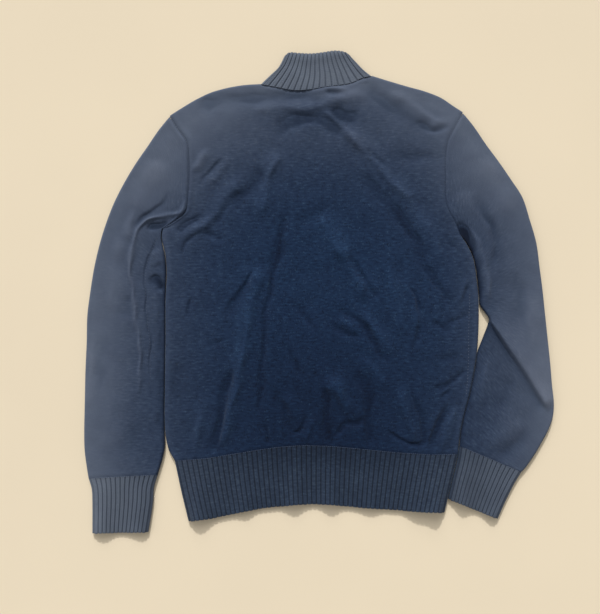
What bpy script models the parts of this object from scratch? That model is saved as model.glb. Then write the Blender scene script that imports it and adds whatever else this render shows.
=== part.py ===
"""Button-neck sweater in rib and stocking stitch, laid face down on a table.

The back is up and the front, with its button bands, lies on the table. Metres, +Z up, +Y towards
the collar, +X to the picture's right. The origin is on the table, under the middle of the outline.
Every cloth piece is a wall of one thickness, lofted through sections of two points or more.
"""
import math

import bmesh
import bpy
from mathutils import Vector

COLLECTION = "button_neck_sweater"
MM = 0.001

# Driving sizes
WALL = 0.0026            # thickness of the knitted cloth
SEAM = 0.0004            # space left between two sewn pieces
CORNER_EASE = 0.0008     # more space where a sleeve's folded edge meets the body
CORNER_DROP = 0.0030     # drop of the front panel where the collar's folded side stands on it
LAYER_GAP = 0.0028       # air between the front and the back inside the garment
SIDE_HEIGHT = 0.0082     # height of a folded side over both layers
EDGE_PLUMP = 0.0010      # extra lift of the upper layer beside a fold
PLUMP_REACH = 0.018      # how far that lift reaches in from the fold
MIN_GAP = 0.0005         # least air between the layers
RIB_HEIGHT = 0.0011      # how far a rib stands proud of its valley
HEM_RIBS = 56
CUFF_RIBS = 13
COLLAR_RIBS = 17
RIB_PRESS = 0.0016       # how far the hem's and cuffs' free edges lie lower than the knit cloth
WAVE_EASE = 0.012        # distance from a folded side over which the edge's waves rise
PLACKET_WIDTH = 0.030
PLACKET_X = -0.004       # centre line of the button bands
PLACKET_BOTTOM = 0.150   # y of the lower end of the bands
BAND_THICK = 0.0019
BUTTON_DIAMETER = 0.015
BUTTON_THICK = 0.0017
BUTTON_Y = (0.312, 0.264, 0.216, 0.168)
FRONT_NECK_DROP = 0.046  # front neck seam below the back one at the centre
COLLAR_HEIGHT = 0.055
BAND_LIFT = 0.0017       # lift of the front panel where it meets the bands
BAND_LIFT_REACH = 0.024
BACK_LIFT = 0.0030       # lift of the back over the bands and the collar's front
BACK_LIFT_REACH = 0.040

# Worked out from the driving sizes
MIDDLE = SIDE_HEIGHT / 2
FOLD_RADIUS = MIDDLE - WALL / 2
FOLD_ANGLES = (0.0, math.pi / 4, math.pi / 2)
FOLD_INSETS = tuple(FOLD_RADIUS * (1 - math.cos(a)) for a in FOLD_ANGLES)
BAND_BOTTOM = BUTTON_THICK + 0.0003
UNDER_BAND_BOTTOM = BAND_BOTTOM + BAND_THICK + 0.0003

# The body, a row for each level from the shoulder points to the hem seam, in millimetres:
# x left, y left, x right, y right. The first UNDERARM_ROW rows run down the armholes.
BODY_ROWS = (
    (-239, 282, 230, 288),
    (-226, 262, 219, 268),
    (-211, 240, 206, 243),
    (-208, 212, 202, 212),
    (-208, 180, 202, 180),
    (-210, 152, 203, 148),
    (-214, 130, 209, 129),
    (-229, 116, 218, 113),
    (-249, 104, 225, 94),
    (-252, 88, 238, 75),
    (-246, 59, 248, 51),
    (-244, 28, 253, 17),
    (-246, -12, 256, -20),
    (-246, -76, 254, -84),
    (-247, -148, 244, -149),
    (-247, -212, 230, -205),
    (-242, -247, 225, -236),
    (-231, -269, 223, -258),
)
UNDERARM_ROW = 8

# Seam lines that run across, left to right, in millimetres: x, y
LEFT_SHOULDER = ((-239, 282), (-222, 293), (-197, 308), (-174, 319), (-150, 326), (-122, 331), (-94, 333))
BACK_NECK = ((-94, 333), (-67, 328), (-38, 323), (-13, 324), (8, 328), (30, 331), (51, 335), (67, 342),
             (85, 346))
RIGHT_SHOULDER = ((85, 346), (114, 337), (141, 329), (170, 321), (195, 311), (213, 299), (230, 288))
HEM_SEAM = ((-231, -269), (-206, -267), (-181, -265), (-138, -258), (-101, -252), (-67, -247), (-24, -244),
            (27, -246), (67, -250), (130, -256), (181, -259), (223, -258))
HEM_EDGE = ((-209, -366), (-178, -362), (-138, -354), (-91, -345), (-54, -341), (-11, -338), (37, -341),
            (83, -345), (130, -348), (174, -352), (201, -352))

# Sleeves, a row for each section from the armhole to the cuff seam, in millimetres:
# x outer, y outer, x inner, y inner, share of the armhole's curve that the section keeps
LEFT_SLEEVE_ROWS = (
    (-239, 282, -249, 104, 1.00),
    (-257, 260, -253.7, 99, 0.58),
    (-274, 235, -254.4, 94, 0.32),
    (-294, 206, -253.4, 86, 0.15),
    (-313, 174, -250.5, 74, 0.05),
    (-329, 142, -247.5, 62, 0.00),
    (-342, 108, -245.8, 48, 0.00),
    (-352, 75, -245.1, 34, 0.00),
    (-360, 40, -245.3, 18, 0.00),
    (-366, 3, -246.7, -5, 0.00),
    (-371, -37, -247, -39, 0.00),
    (-372, -79, -247, -79, 0.00),
    (-374, -125, -247.6, -125, 0.00),
    (-375, -172, -248.2, -172, 0.00),
    (-376, -220, -247.6, -218, 0.00),
    (-375, -255, -247.5, -252, 0.00),
    (-369, -297, -258, -291, 0.00),
)
RIGHT_SLEEVE_ROWS = (
    (230, 288, 225, 94, 1.00),
    (248, 266, 230.4, 88, 0.58),
    (267, 238, 235, 82, 0.32),
    (287, 211, 239.3, 75, 0.15),
    (307, 182, 243.7, 66, 0.05),
    (326, 152, 247.6, 56, 0.00),
    (338, 115, 250.7, 43, 0.00),
    (348, 80, 252.7, 29, 0.00),
    (353, 43, 254.4, 14, 0.00),
    (358, 4, 256.3, -3, 0.00),
    (362, -34, 257.6, -19, 0.00),
    (366, -72, 266, -32, 0.00),
    (370, -111, 271, -39, 0.00),
    (373, -148, 272, -45, 0.00),
    (376, -178, 269, -55, 0.00),
    (374, -200, 262, -73, 0.00),
    (367, -220, 254, -95, 0.00),
    (358, -237, 251.2, -115, 0.00),
    (349, -253, 247.2, -138, 0.00),
    (340, -267, 241.6, -165, 0.00),
    (333, -277, 234.3, -193, 0.00),
    (324, -287, 225.4, -245, 0.00),
)

# Cuffs from the seam to the edge: x outer, y outer, x inner, y inner
LEFT_CUFF_ROWS = ((-369, -297, -258, -291), (-364, -314, -264, -312), (-363, -338, -266, -338),
                  (-363, -385, -273, -383))
RIGHT_CUFF_ROWS = ((324, -287, 225.4, -245), (312, -307, 221.8, -268), (298, -335, 214.8, -298),
                   (286, -362, 207.6, -330))

# Waves of the free edges' upper layer over the table, in millimetres: x, half width, lift
HEM_WAVES = ((-194, 20, 9.0), (-120, 15, 5.0), (-40, 16, 7.5), (19, 16, 8.0), (83, 17, 4.0),
             (160, 19, 9.0), (187, 16, 12.0))
LEFT_CUFF_WAVES = ((-347, 16, 6.0), (-288, 14, 5.0))
RIGHT_CUFF_WAVES = ((229, 14, 8.0), (276, 13, 5.0))

# Hem rib from the seam to the edge: x left, y left, x right, y right
HEM_ROWS = ((-231, -269, 223, -258), (-221, -316, 212, -305), (-209, -366, 201, -352))

# Folded sides of the collar from the neck seam to the top edge: x left, y left, x right, y right
COLLAR_ROWS = ((-94, 333, 85, 346), (-77, 349, 72, 356), (-65, 360, 59, 369), (-56, 376, 50, 378))
COLLAR_TOP = ((-56, 376), (-48, 383), (-32, 382), (-14, 381), (6, 383), (27, 386), (42, 384), (50, 378))

# The largest soft folds, in millimetres: from x, from y, to x, to y, half width, height
BODY_FOLDS = (
    (-166, 300, -30, 289, 14, -1.5),
    (42, 284, 98, 289, 12, -1.8),
    (-30, 280, 42, 273, 12, -1.6),
    (26, 284, 122, 172, 14, 2.8),
    (94, 321, 213, 260, 15, -1.9),
    (110, 336, 194, 300, 12, 1.6),
    (90, 164, 181, 12, 18, -1.9),
    (120, 170, 205, 20, 16, 1.9),
    (-91, 204, -168, 108, 16, -2.0),
    (-62, 220, -88, 134, 16, 2.2),
    (-218, 104, -194, 129, 12, 2.0),
    (-101, 36, -144, -236, 20, 3.0),
    (-61, 124, -94, -188, 16, -2.0),
    (-144, -148, -162, -244, 14, -1.9),
    (-185, -60, -200, -230, 20, 1.9),
    (58, -34, 107, -108, 12, -2.0),
    (74, -22, 130, -100, 13, 2.5),
    (10, -156, 19, -236, 12, -2.0),
    (50, -140, 52, -215, 17, 2.9),
    (82, -140, 88, -236, 12, -2.0),
    (118, -150, 125, -236, 15, 2.2),
    (147, -165, 162, -236, 12, -1.9),
    (229, -128, 178, -248, 14, -2.0),
    (218, -100, 200, -160, 14, 2.0),
    (-30, -110, -35, -230, 18, 1.9),
    (-2, 108, 62, 28, 26, 1.5),
)
LEFT_SLEEVE_FOLDS = (
    (-224, 150, -271, 132, 13, 2.6),
    (-284, 124, -309, 56, 15, 3.2),
    (-309, 56, -310, 6, 15, 3.2),
    (-310, 6, -300, -84, 16, 2.6),
    (-272, 92, -262, 20, 15, -2.0),
    (-262, 20, -262, -60, 15, -1.6),
    (-320, -110, -330, -240, 24, 1.6),
    (-262, 190, -300, 130, 18, 1.6),
)
RIGHT_SLEEVE_FOLDS = (
    (270, -46, 352, -190, 12, -2.2),
    (291, -32, 366, -150, 15, 3.2),
    (248, 158, 276, 116, 14, -1.7),
    (276, 116, 293, 20, 14, -1.7),
    (266, 222, 320, 110, 20, 1.9),
    (322, -204, 274, -252, 18, 1.8),
    (292, -90, 262, -190, 14, 1.8),
)

ARMHOLE_CELLS = 9
SIDE_CELLS = 16
BODY_CELLS = 26
NECK_CELLS = (8, 18)
FRONT_ROW_STEP = 3
FRONT_SHOULDER_CELLS = 4
FRONT_NECK_CELLS = 4
HEM_FRONT_CELLS = 12


def clamp(value, low, high):
    return max(low, min(high, value))


def smooth(value):
    value = clamp(value, 0.0, 1.0)
    return value * value * (3 - 2 * value)


def mix(a, b, share):
    return a + (b - a) * share


def through(rows, place):
    """Row at place (0 to 1) on a smooth curve through evenly counted rows."""
    span = clamp(place, 0.0, 1.0) * (len(rows) - 1)
    index = min(int(span), len(rows) - 2)
    f = span - index
    before = rows[max(index - 1, 0)]
    after = rows[min(index + 2, len(rows) - 1)]
    result = []
    for a, b, c, d in zip(before, rows[index], rows[index + 1], after):
        bend = (2 * a - 5 * b + 4 * c - d) * f * f + (3 * b - a - 3 * c + d) * f ** 3
        result.append(b + 0.5 * ((c - a) * f + bend))
    return [value * MM for value in result]


def line_y(points, x):
    """Height y of a seam line at x, all in metres, on a smooth curve through its points."""
    xs = [p[0] * MM for p in points]
    ys = [p[1] * MM for p in points]
    slopes = []
    for i in range(len(xs)):
        low = max(i - 1, 0)
        high = min(i + 1, len(xs) - 1)
        slopes.append((ys[high] - ys[low]) / (xs[high] - xs[low]))
    index = 0
    while index < len(xs) - 2 and x > xs[index + 1]:
        index += 1
    width = xs[index + 1] - xs[index]
    f = clamp((x - xs[index]) / width, 0.0, 1.0)
    h10 = f ** 3 - 2 * f ** 2 + f
    h11 = f ** 3 - f ** 2
    level = mix(ys[index], ys[index + 1], f * f * (3 - 2 * f))
    return level + width * (h10 * slopes[index] + h11 * slopes[index + 1])


def fold_rise(folds, x, y):
    """Sum of the soft folds at a place on the upper layer."""
    total = 0.0
    for x1, y1, x2, y2, half_width, height in folds:
        start = Vector((x1, y1)) * MM
        along = Vector((x2, y2)) * MM - start
        share = clamp((Vector((x, y)) - start).dot(along) / along.length_squared, 0.0, 1.0)
        distance = (Vector((x, y)) - start - along * share).length
        fade = 0.35 + 0.65 * math.sin(math.pi * share)
        total += height * MM * fade * math.exp(-(distance / (half_width * MM)) ** 2)
    return total


def back_lift(x, y):
    """Lift of the upper layer over the button bands and the collar's front."""
    beside = abs(x - PLACKET_X) - PLACKET_WIDTH / 2
    below = PLACKET_BOTTOM - y
    distance = math.hypot(max(beside, 0.0), max(below, 0.0))
    return BACK_LIFT * (1 - smooth(distance / BACK_LIFT_REACH))


def upper_layer(folds, x, y, fold_distance):
    """Height of the middle of the upper cloth at a place."""
    plump = EDGE_PLUMP * math.exp(-max(fold_distance, 0.0) / PLUMP_REACH)
    gap = max(LAYER_GAP + plump + fold_rise(folds, x, y) * (1 - math.exp(-fold_distance / 0.012)), MIN_GAP)
    return WALL * 1.5 + gap + back_lift(x, y)


def edge_wave(waves, x, down):
    """Lift of a hem's or cuff's upper cloth, whose free edge stands in waves, less its press."""
    lift = sum(height * MM * math.exp(-((x / MM - at) / half_width) ** 2) for at, half_width, height in waves)
    return lift * down ** 1.6 - RIB_PRESS * down


def new_material(name, colour, roughness):
    material = bpy.data.materials.new(name)
    material.use_nodes = True
    shader = material.node_tree.nodes["Principled BSDF"]
    shader.inputs["Base Color"].default_value = (*colour, 1.0)
    shader.inputs["Roughness"].default_value = roughness
    shader.inputs["Metallic"].default_value = 0.0
    return material


def add_object(name, mesh, material, collection):
    thing = bpy.data.objects.new(name, mesh)
    mesh.materials.append(material)
    collection.objects.link(thing)
    return thing


def wall(name, outer, inner, closed, kept=None):
    """Closed wall between two grids of points, round a ring or open, with cells left out where asked."""
    mesh = bpy.data.meshes.new(name)
    bm = bmesh.new()
    rows = len(outer)
    columns = len(outer[0])
    skins = [[[bm.verts.new(point) for point in row] for row in grid] for grid in (outer, inner)]
    cells = columns if closed else columns - 1
    edges = {}
    for i in range(rows - 1):
        for j in range(cells):
            if kept and not kept(i, j):
                continue
            right = (j + 1) % columns
            corners = ((i, j), (i, right), (i + 1, right), (i + 1, j))
            bm.faces.new([skins[0][a][b] for a, b in corners])
            bm.faces.new([skins[1][a][b] for a, b in reversed(corners)])
            for start, end in zip(corners, corners[1:] + corners[:1]):
                if edges.pop((end, start), None) is None:
                    edges[(start, end)] = True
    for start, end in edges:
        top = [skins[0][a][b] for a, b in (end, start)]
        bottom = [skins[1][a][b] for a, b in (start, end)]
        bm.faces.new(top + bottom)
    loose = [vertex for vertex in bm.verts if not vertex.link_faces]
    bmesh.ops.delete(bm, geom=loose, context="VERTS")
    bmesh.ops.recalc_face_normals(bm, faces=bm.faces)
    bm.to_mesh(mesh)
    bm.free()
    mesh.shade_smooth()
    mesh.set_sharp_from_angle(angle=math.radians(50))
    return mesh


def body_row(level):
    """Left and right edge of the body at a level, with a sharp corner at the underarms."""
    corner = UNDERARM_ROW / (len(BODY_ROWS) - 1)
    if level < corner:
        return through(BODY_ROWS[:UNDERARM_ROW + 1], level / corner)
    return through(BODY_ROWS[UNDERARM_ROW:], (level - corner) / (1 - corner))


def body_levels():
    """Shares of the way from the shoulder points to the hem seam at which the body has rows."""
    underarm = UNDERARM_ROW / (len(BODY_ROWS) - 1)
    first = Vector(BODY_ROWS[1][:2]) - Vector(BODY_ROWS[0][:2])
    per_metre = 1 / (len(BODY_ROWS) - 1) / (first.length * MM)
    folded = [inset * per_metre for inset in FOLD_INSETS]
    armhole = [mix(folded[-1], underarm, k / ARMHOLE_CELLS) for k in range(1, ARMHOLE_CELLS + 1)]
    side = [mix(underarm, 1.0, k / SIDE_CELLS) for k in range(1, SIDE_CELLS + 1)]
    return folded + armhole + side


LEVELS = body_levels()
ARMHOLE_LAST = len(FOLD_INSETS) - 1 + ARMHOLE_CELLS


def top_line(x, front):
    """Top edge of a body panel: shoulder seams and neck seam."""
    if x < LEFT_SHOULDER[-1][0] * MM:
        return line_y(LEFT_SHOULDER, x)
    if x > RIGHT_SHOULDER[0][0] * MM:
        return line_y(RIGHT_SHOULDER, x)
    if front:
        return front_neck(x)
    return line_y(BACK_NECK, x)


def neck_curve(x):
    """Deep curve of the front neck between the two ends of the shoulder seams."""
    left = Vector(BACK_NECK[0]) * MM
    right = Vector(BACK_NECK[-1]) * MM
    share = clamp((x - left.x) / (right.x - left.x), 0.0, 1.0)
    return mix(left.y, right.y, share) - (FRONT_NECK_DROP + 0.010) * (1 - abs(2 * share - 1) ** 2.6)


def neck_knots(side):
    """Places across from the band's edge to the neck's corner at which the front neck seam bends."""
    corner = BACK_NECK[0 if side < 0 else -1][0] * MM
    edge = PLACKET_X + side * (PLACKET_WIDTH / 2 + SEAM)
    return [mix(edge, corner, k / FRONT_NECK_CELLS) for k in range(FRONT_NECK_CELLS + 1)]


def front_neck(x):
    """Front neck seam at x: straight stretches between its knots, shared by panel and collar."""
    knots = sorted(neck_knots(-1) + neck_knots(1))
    index = 0
    while index < len(knots) - 2 and x > knots[index + 1]:
        index += 1
    share = clamp((x - knots[index]) / (knots[index + 1] - knots[index]), 0.0, 1.0)
    return mix(neck_curve(knots[index]), neck_curve(knots[index + 1]), share)


def side_fold(level):
    """How much of the side is folded: none along an armhole, all below it."""
    underarm = UNDERARM_ROW / (len(BODY_ROWS) - 1)
    return smooth((level - underarm) / (LEVELS[ARMHOLE_LAST + 1] - underarm))


def coarse_armhole():
    """Body levels at which the front's armhole has its corners, shared with the sleeves' undersides."""
    return sorted(list(range(len(FOLD_INSETS) - 1, ARMHOLE_LAST + 1, FRONT_ROW_STEP)) + [ARMHOLE_LAST - 1])


def corner_distance(x):
    """Distance across from the nearer corner of the neck."""
    return min(abs(x - BACK_NECK[0][0] * MM), abs(x - BACK_NECK[-1][0] * MM))


def top_fold(x):
    """How much of the top edge is folded: all along the shoulders, none along the neck."""
    left = LEFT_SHOULDER[-1][0] * MM
    right = RIGHT_SHOULDER[0][0] * MM
    return 1.0 - smooth((x - left) / 0.012) * smooth((right - x) / 0.012)


def body_place(share, level, front):
    """Place in plan on a body panel: share across and level down."""
    xl, yl, xr, yr = body_row(level)
    x = mix(xl, xr, share)
    y = mix(yl, yr, share)
    x0 = mix(BODY_ROWS[0][0], BODY_ROWS[0][2], share) * MM
    y0 = mix(BODY_ROWS[0][1], BODY_ROWS[0][3], share) * MM
    x1 = mix(BODY_ROWS[-1][0], BODY_ROWS[-1][2], share) * MM
    y1 = mix(BODY_ROWS[-1][1], BODY_ROWS[-1][3], share) * MM
    y += (top_line(x0, front) - y0) * (1 - level) ** (3.0 if front else 2.0)
    y += (line_y(HEM_SEAM, x1) - y1) * level ** 3
    return Vector((x, y))


def body_shares(level, front):
    """Shares across a body row, and for each the inset from its folded side."""
    xl, yl, xr, yr = body_row(level)
    width = math.hypot(xr - xl, yr - yl)
    shoulder = 1.0 if level <= LEVELS[len(FOLD_INSETS) - 1] else 0.0
    first = mix(SEAM / 2, WALL / 2, max(side_fold(level), shoulder))
    ends = [(first + inset) / width for inset in FOLD_INSETS]
    if front:
        middle = []
        for side in (-1, 1):
            knots = [(knot - xl) / (xr - xl) for knot in neck_knots(side)]
            edge = ends[-1] if side < 0 else 1 - ends[-1]
            cells = FRONT_SHOULDER_CELLS
            middle += knots + [mix(knots[-1], edge, k / cells) for k in range(1, cells)]
        middle.sort()
    else:
        middle = [mix(ends[-1], 1 - ends[-1], k / BODY_CELLS) for k in range(1, BODY_CELLS)]
    shares = ends + middle + [1 - end for end in reversed(ends)]
    insets = list(FOLD_INSETS) + [None] * len(middle) + list(reversed(FOLD_INSETS))
    return shares, insets, width


def folded_point(place, outward, turn, height, up):
    """Outer and inner point of a wall beside a fold.

    turn is the angle round the fold, 0 at its outermost and a quarter turn on the flat; height is
    that of the flat cloth's middle, and up is 1 for the upper layer and -1 for the lower one.
    """
    z = MIDDLE + (height - MIDDLE) * math.sin(turn)
    direction = Vector((outward.x * math.cos(turn), outward.y * math.cos(turn), up * math.sin(turn)))
    middle = Vector((place.x, place.y, z))
    return middle + direction * WALL / 2, middle - direction * WALL / 2


def turn_of(inset, folded):
    """Angle round a fold at an inset from its outermost point."""
    if inset is None:
        return math.pi / 2
    full = math.acos(clamp(1 - inset / FOLD_RADIUS, 0.0, 1.0))
    return mix(math.pi / 2, full, folded)


def front_height(x, y):
    """Height of the middle of the front panel, which lifts beside the button bands."""
    beside = max(abs(x - PLACKET_X) - PLACKET_WIDTH / 2, 0.0)
    below = max(PLACKET_BOTTOM - y, 0.0)
    lift = BAND_LIFT * (1 - smooth(math.hypot(beside, below) / BAND_LIFT_REACH))
    return WALL / 2 + lift


def body_panel(name, front):
    up = -1 if front else 1
    last = len(LEVELS) - 1
    indices = list(range(len(LEVELS)))
    if front:
        fold_last = len(FOLD_INSETS) - 1
        arm = coarse_armhole()
        side = [ARMHOLE_LAST + 1] + list(range(ARMHOLE_LAST + 3, last, FRONT_ROW_STEP - 1)) + [last]
        indices = sorted(set(list(range(fold_last)) + arm + side))
    outer = []
    inner = []
    for index in indices:
        level = LEVELS[index]
        shares, insets, width = body_shares(level, front)
        outer_row = []
        inner_row = []
        for column, (share, inset) in enumerate(zip(shares, insets)):
            place = body_place(share, level, front)
            side_turn = turn_of(inset, side_fold(level))
            top_inset = FOLD_INSETS[index] if index < len(FOLD_INSETS) else None
            top_turn = turn_of(top_inset, top_fold(place.x))
            if index == 0:
                place.y -= mix(SEAM * 0.8, WALL / 2, top_fold(place.x))
            if front and index < len(FOLD_INSETS):
                place.y -= CORNER_DROP * math.exp(-(corner_distance(place.x) / 0.006) ** 2)
            if index == last:
                place.y += SEAM / 2
            sideways = Vector((-1.0 if share < 0.5 else 1.0, 0.0))
            outward = sideways * math.cos(side_turn) + Vector((0.0, 1.0)) * math.cos(top_turn)
            outward = outward.normalized() if outward.length > 1e-6 else sideways
            if front:
                height = front_height(place.x, place.y)
            else:
                distance = min(share, 1 - share) * width
                if side_fold(level) < 0.5:
                    distance = PLUMP_REACH * 3
                height = upper_layer(BODY_FOLDS, place.x, place.y, distance)
            points = folded_point(place, outward, min(side_turn, top_turn), height, up)
            lift = Vector((0.0, 0.0, up * SEAM / 2 * math.cos(min(side_turn, top_turn))))
            outer_row.append(points[0] + lift)
            inner_row.append(points[1] + lift)
        outer.append(outer_row)
        inner.append(inner_row)
    kept = None
    if front:
        notch = len(FOLD_INSETS) - 1 + FRONT_SHOULDER_CELLS + FRONT_NECK_CELLS
        bottoms = [row[notch].y for row in outer]
        notch_end = min(range(len(bottoms)), key=lambda i: abs(bottoms[i] - (PLACKET_BOTTOM - SEAM)))
        for row in (outer[notch_end], inner[notch_end]):
            for column in (notch, notch + 1):
                row[column].y = PLACKET_BOTTOM - SEAM

        def kept(i, j):
            return j != notch or i >= notch_end

    return wall(name, outer, inner, False, kept)


def flat_ring(place, length, upper_shares, lower_shares, height, ribs=None):
    """Outer and inner points round one section of a flattened tube.

    place(share) gives the plan, length is the section's width, height(place, inset) the middle of
    the upper cloth, and ribs(share) the part of a rib's height that stands there.
    """
    out_start = (place(0.0) - place(0.02)).normalized()
    out_end = (place(1.0) - place(0.98)).normalized()
    outer = []
    inner = []

    def add(share, outward, turn, up):
        spot = place(share)
        inset = min(share, 1 - share) * length
        level = height(spot, inset) if up > 0 else WALL / 2
        pair = folded_point(spot, outward, turn, level, up)
        proud = ribs(share) * RIB_HEIGHT if ribs and up > 0 and turn > 1.0 else 0.0
        outer.append(pair[0] + Vector((0.0, 0.0, proud)))
        inner.append(pair[1])

    def fold_share(inset):
        return (WALL / 2 + inset) / length

    folds = list(zip(FOLD_ANGLES, FOLD_INSETS))
    for angle, inset in folds:
        add(fold_share(inset), out_start, angle, 1)
    for share in upper_shares:
        add(share, out_start, math.pi / 2, 1)
    for angle, inset in reversed(folds):
        add(1 - fold_share(inset), out_end, angle, 1)
    for angle, inset in folds[1:]:
        add(1 - fold_share(inset), out_end, angle, -1)
    for share in lower_shares:
        add(share, out_end, math.pi / 2, -1)
    for angle, inset in folds[:0:-1]:
        add(fold_share(inset), out_start, angle, -1)
    return outer, inner


def armhole_line(side):
    """Corner points of the armhole seam as the body's rows meet it, shoulder to underarm."""
    column = 0 if side < 0 else 2
    points = []
    for level in LEVELS[:ARMHOLE_LAST + 1]:
        row = body_row(level)
        points.append(Vector((row[column], row[column + 1])))
    return points


def sleeve(name, side, rows, folds):
    seam = armhole_line(side)
    lengths = [0.0]
    for start, end in zip(seam, seam[1:]):
        lengths.append(lengths[-1] + (end - start).length)
    total = lengths[-1]
    first_flat = len(FOLD_INSETS)
    upper = [length / total for length in lengths[first_flat:-1]]
    lower = [lengths[index] / total for index in coarse_armhole()[1:-1]]
    chord_start = seam[0]
    chord_end = seam[-1]

    def armhole_bow(share):
        distance = clamp(share, 0.0, 1.0) * total
        index = 0
        while index < len(lengths) - 2 and distance > lengths[index + 1]:
            index += 1
        step = (distance - lengths[index]) / (lengths[index + 1] - lengths[index])
        point = seam[index].lerp(seam[index + 1], step)
        return point - chord_start.lerp(chord_end, share)

    outer = []
    inner = []
    for number, (x1, y1, x2, y2, bow) in enumerate(rows):
        start = Vector((x1, y1)) * MM
        end = Vector((x2, y2)) * MM
        shift = Vector((0.0, 0.0))
        if number == len(rows) - 1:
            back = (Vector(rows[-2][:2]) + Vector(rows[-2][2:4]) - Vector((x1 + x2, y1 + y2))).normalized()
            shift = back * SEAM / 2
        length = total if number == 0 else (end - start).length

        def place(share):
            spot = start.lerp(end, share) + armhole_bow(share) * bow + shift
            if number:
                return spot
            low = clamp(share, 0.0, 0.99)
            tangent = armhole_bow(low + 0.01) - armhole_bow(low) + (chord_end - chord_start) * 0.01
            away = Vector((-side * tangent.y, side * tangent.x)).normalized()
            ease = CORNER_EASE * (1 - smooth(min(share, 1 - share) / 0.06))
            return spot + away * (SEAM / 2 + ease)

        def height(spot, inset):
            return upper_layer(folds, spot.x, spot.y, inset)

        points = flat_ring(place, length, upper, list(reversed(lower)), height)
        outer.append(points[0])
        inner.append(points[1])
    return wall(name, outer, inner, True)


def rib_columns(count):
    """Shares across a ribbed face, three to a rib, and how proud each stands."""
    steps = ((0.0, 0.0), (0.36, 1.0), (0.64, 1.0))
    shares = [(rib + step) / count for rib in range(count) for step, _ in steps]
    heights = [proud for _ in range(count) for _, proud in steps]
    return shares[1:], heights[1:]


def ribbed_tube(name, rows, rib_count, lower_cells, upper_lines, waves):
    """Rib tube from its seam to its edge; upper_lines bends its first and last section."""
    shares, heights = rib_columns(rib_count)
    lower = [1 - k / lower_cells for k in range(1, lower_cells)]
    outer = []
    inner = []
    for number, row in enumerate(rows):
        start = Vector(row[:2]) * MM
        end = Vector(row[2:4]) * MM
        length = (end - start).length
        down = number / (len(rows) - 1)
        neighbour = rows[number + 1] if number == 0 else rows[number - 1]
        along = Vector(neighbour[:2]) + Vector(neighbour[2:4]) - Vector(row[:2]) - Vector(row[2:4])
        shift = along.normalized() * SEAM / 2 if number == 0 else Vector((0.0, 0.0))
        margin = (WALL / 2 + FOLD_RADIUS) / length
        placed = [mix(margin, 1 - margin, share) for share in shares]
        proud = dict(zip(placed, heights))

        def place(share):
            spot = start.lerp(end, share) + shift
            if upper_lines:
                for line, weight in ((upper_lines[0], 1 - down), (upper_lines[1], down)):
                    first = Vector(line[0]) * MM
                    last = Vector(line[-1]) * MM
                    x = mix(first.x, last.x, share)
                    spot.y += (line_y(line, x) - mix(first.y, last.y, share)) * weight
            return spot

        def height(spot, inset):
            wave = edge_wave(waves, spot.x, down) * smooth(inset / WAVE_EASE)
            return upper_layer((), spot.x, spot.y, inset) + wave

        points = flat_ring(place, length, placed, lower, height, lambda share: proud.get(share, 0.0))
        outer.append(points[0])
        inner.append(points[1])
    return wall(name, outer, inner, True)


def collar_wall(name):
    """Stand collar: round the back from one front edge to the other, open at the button bands."""
    rib_shares, heights = rib_columns(COLLAR_RIBS)
    outer = []
    inner = []
    for number, row in enumerate(COLLAR_ROWS):
        up = number / (len(COLLAR_ROWS) - 1)
        start = Vector(row[:2]) * MM
        end = Vector(row[2:4]) * MM
        length = (end - start).length
        rise = SEAM * 1.5 if number == 0 else 0.0

        def back_place(share):
            spot = start.lerp(end, share)
            for line, weight in ((BACK_NECK, 1 - up), (COLLAR_TOP, up)):
                first = Vector(line[0]) * MM
                last = Vector(line[-1]) * MM
                x = mix(first.x, last.x, share)
                spot.y += (line_y(line, x) - mix(first.y, last.y, share)) * weight
            return spot + Vector((0.0, rise))

        def front_place(share):
            spot = start.lerp(end, share)
            x = mix(BACK_NECK[0][0], BACK_NECK[-1][0], share) * MM
            base = front_neck(x) - mix(BACK_NECK[0][1], BACK_NECK[-1][1], share) * MM
            return Vector((spot.x, spot.y + base * mix(1.0, 0.86, up) + rise))

        neck_left = BACK_NECK[0][0] * MM
        neck_width = BACK_NECK[-1][0] * MM - neck_left
        knots = []
        for side in (-1, 1):
            shares = [(knot - neck_left) / neck_width for knot in neck_knots(side)[:-1]]
            band_share = (neck_knots(side)[0] - start.x) / (end.x - start.x)
            shift = band_share - shares[0]
            knots.append([knot + shift * (1 - k / FRONT_NECK_CELLS) for k, knot in enumerate(shares)])
        margin = [(WALL / 2 + inset) / length for inset in FOLD_INSETS]
        outer_row = []
        inner_row = []

        def add(spot, outward, turn, upward, proud=0.0):
            if upward > 0:
                distance = min((spot - start).length, (spot - end).length)
                level = upper_layer((), spot.x, spot.y, distance)
            else:
                level = front_height(spot.x, spot.y)
            pair = folded_point(spot, outward, turn, level, upward)
            outer_row.append(pair[0] + Vector((0.0, 0.0, proud)))
            inner_row.append(pair[1])

        left = Vector((-1.0, 0.0))
        right = Vector((1.0, 0.0))
        for share in knots[0]:
            add(front_place(share), left, math.pi / 2, -1)
        for angle, share in list(zip(FOLD_ANGLES, margin))[:0:-1]:
            add(front_place(share), left, angle, -1)
        for angle, share in zip(FOLD_ANGLES, margin):
            add(back_place(share), left, angle, 1)
        for share, proud in zip(rib_shares, heights):
            placed = mix(margin[-1], 1 - margin[-1], share)
            add(back_place(placed), right, math.pi / 2, 1, proud * RIB_HEIGHT)
        for angle, share in list(zip(FOLD_ANGLES, margin))[::-1]:
            add(back_place(1 - share), right, angle, 1)
        for angle, share in list(zip(FOLD_ANGLES, margin))[1:]:
            add(front_place(1 - share), right, angle, -1)
        for share in reversed(knots[1]):
            add(front_place(share), right, math.pi / 2, -1)
        outer.append(outer_row)
        inner.append(inner_row)
    return wall(name, outer, inner, False)


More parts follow.
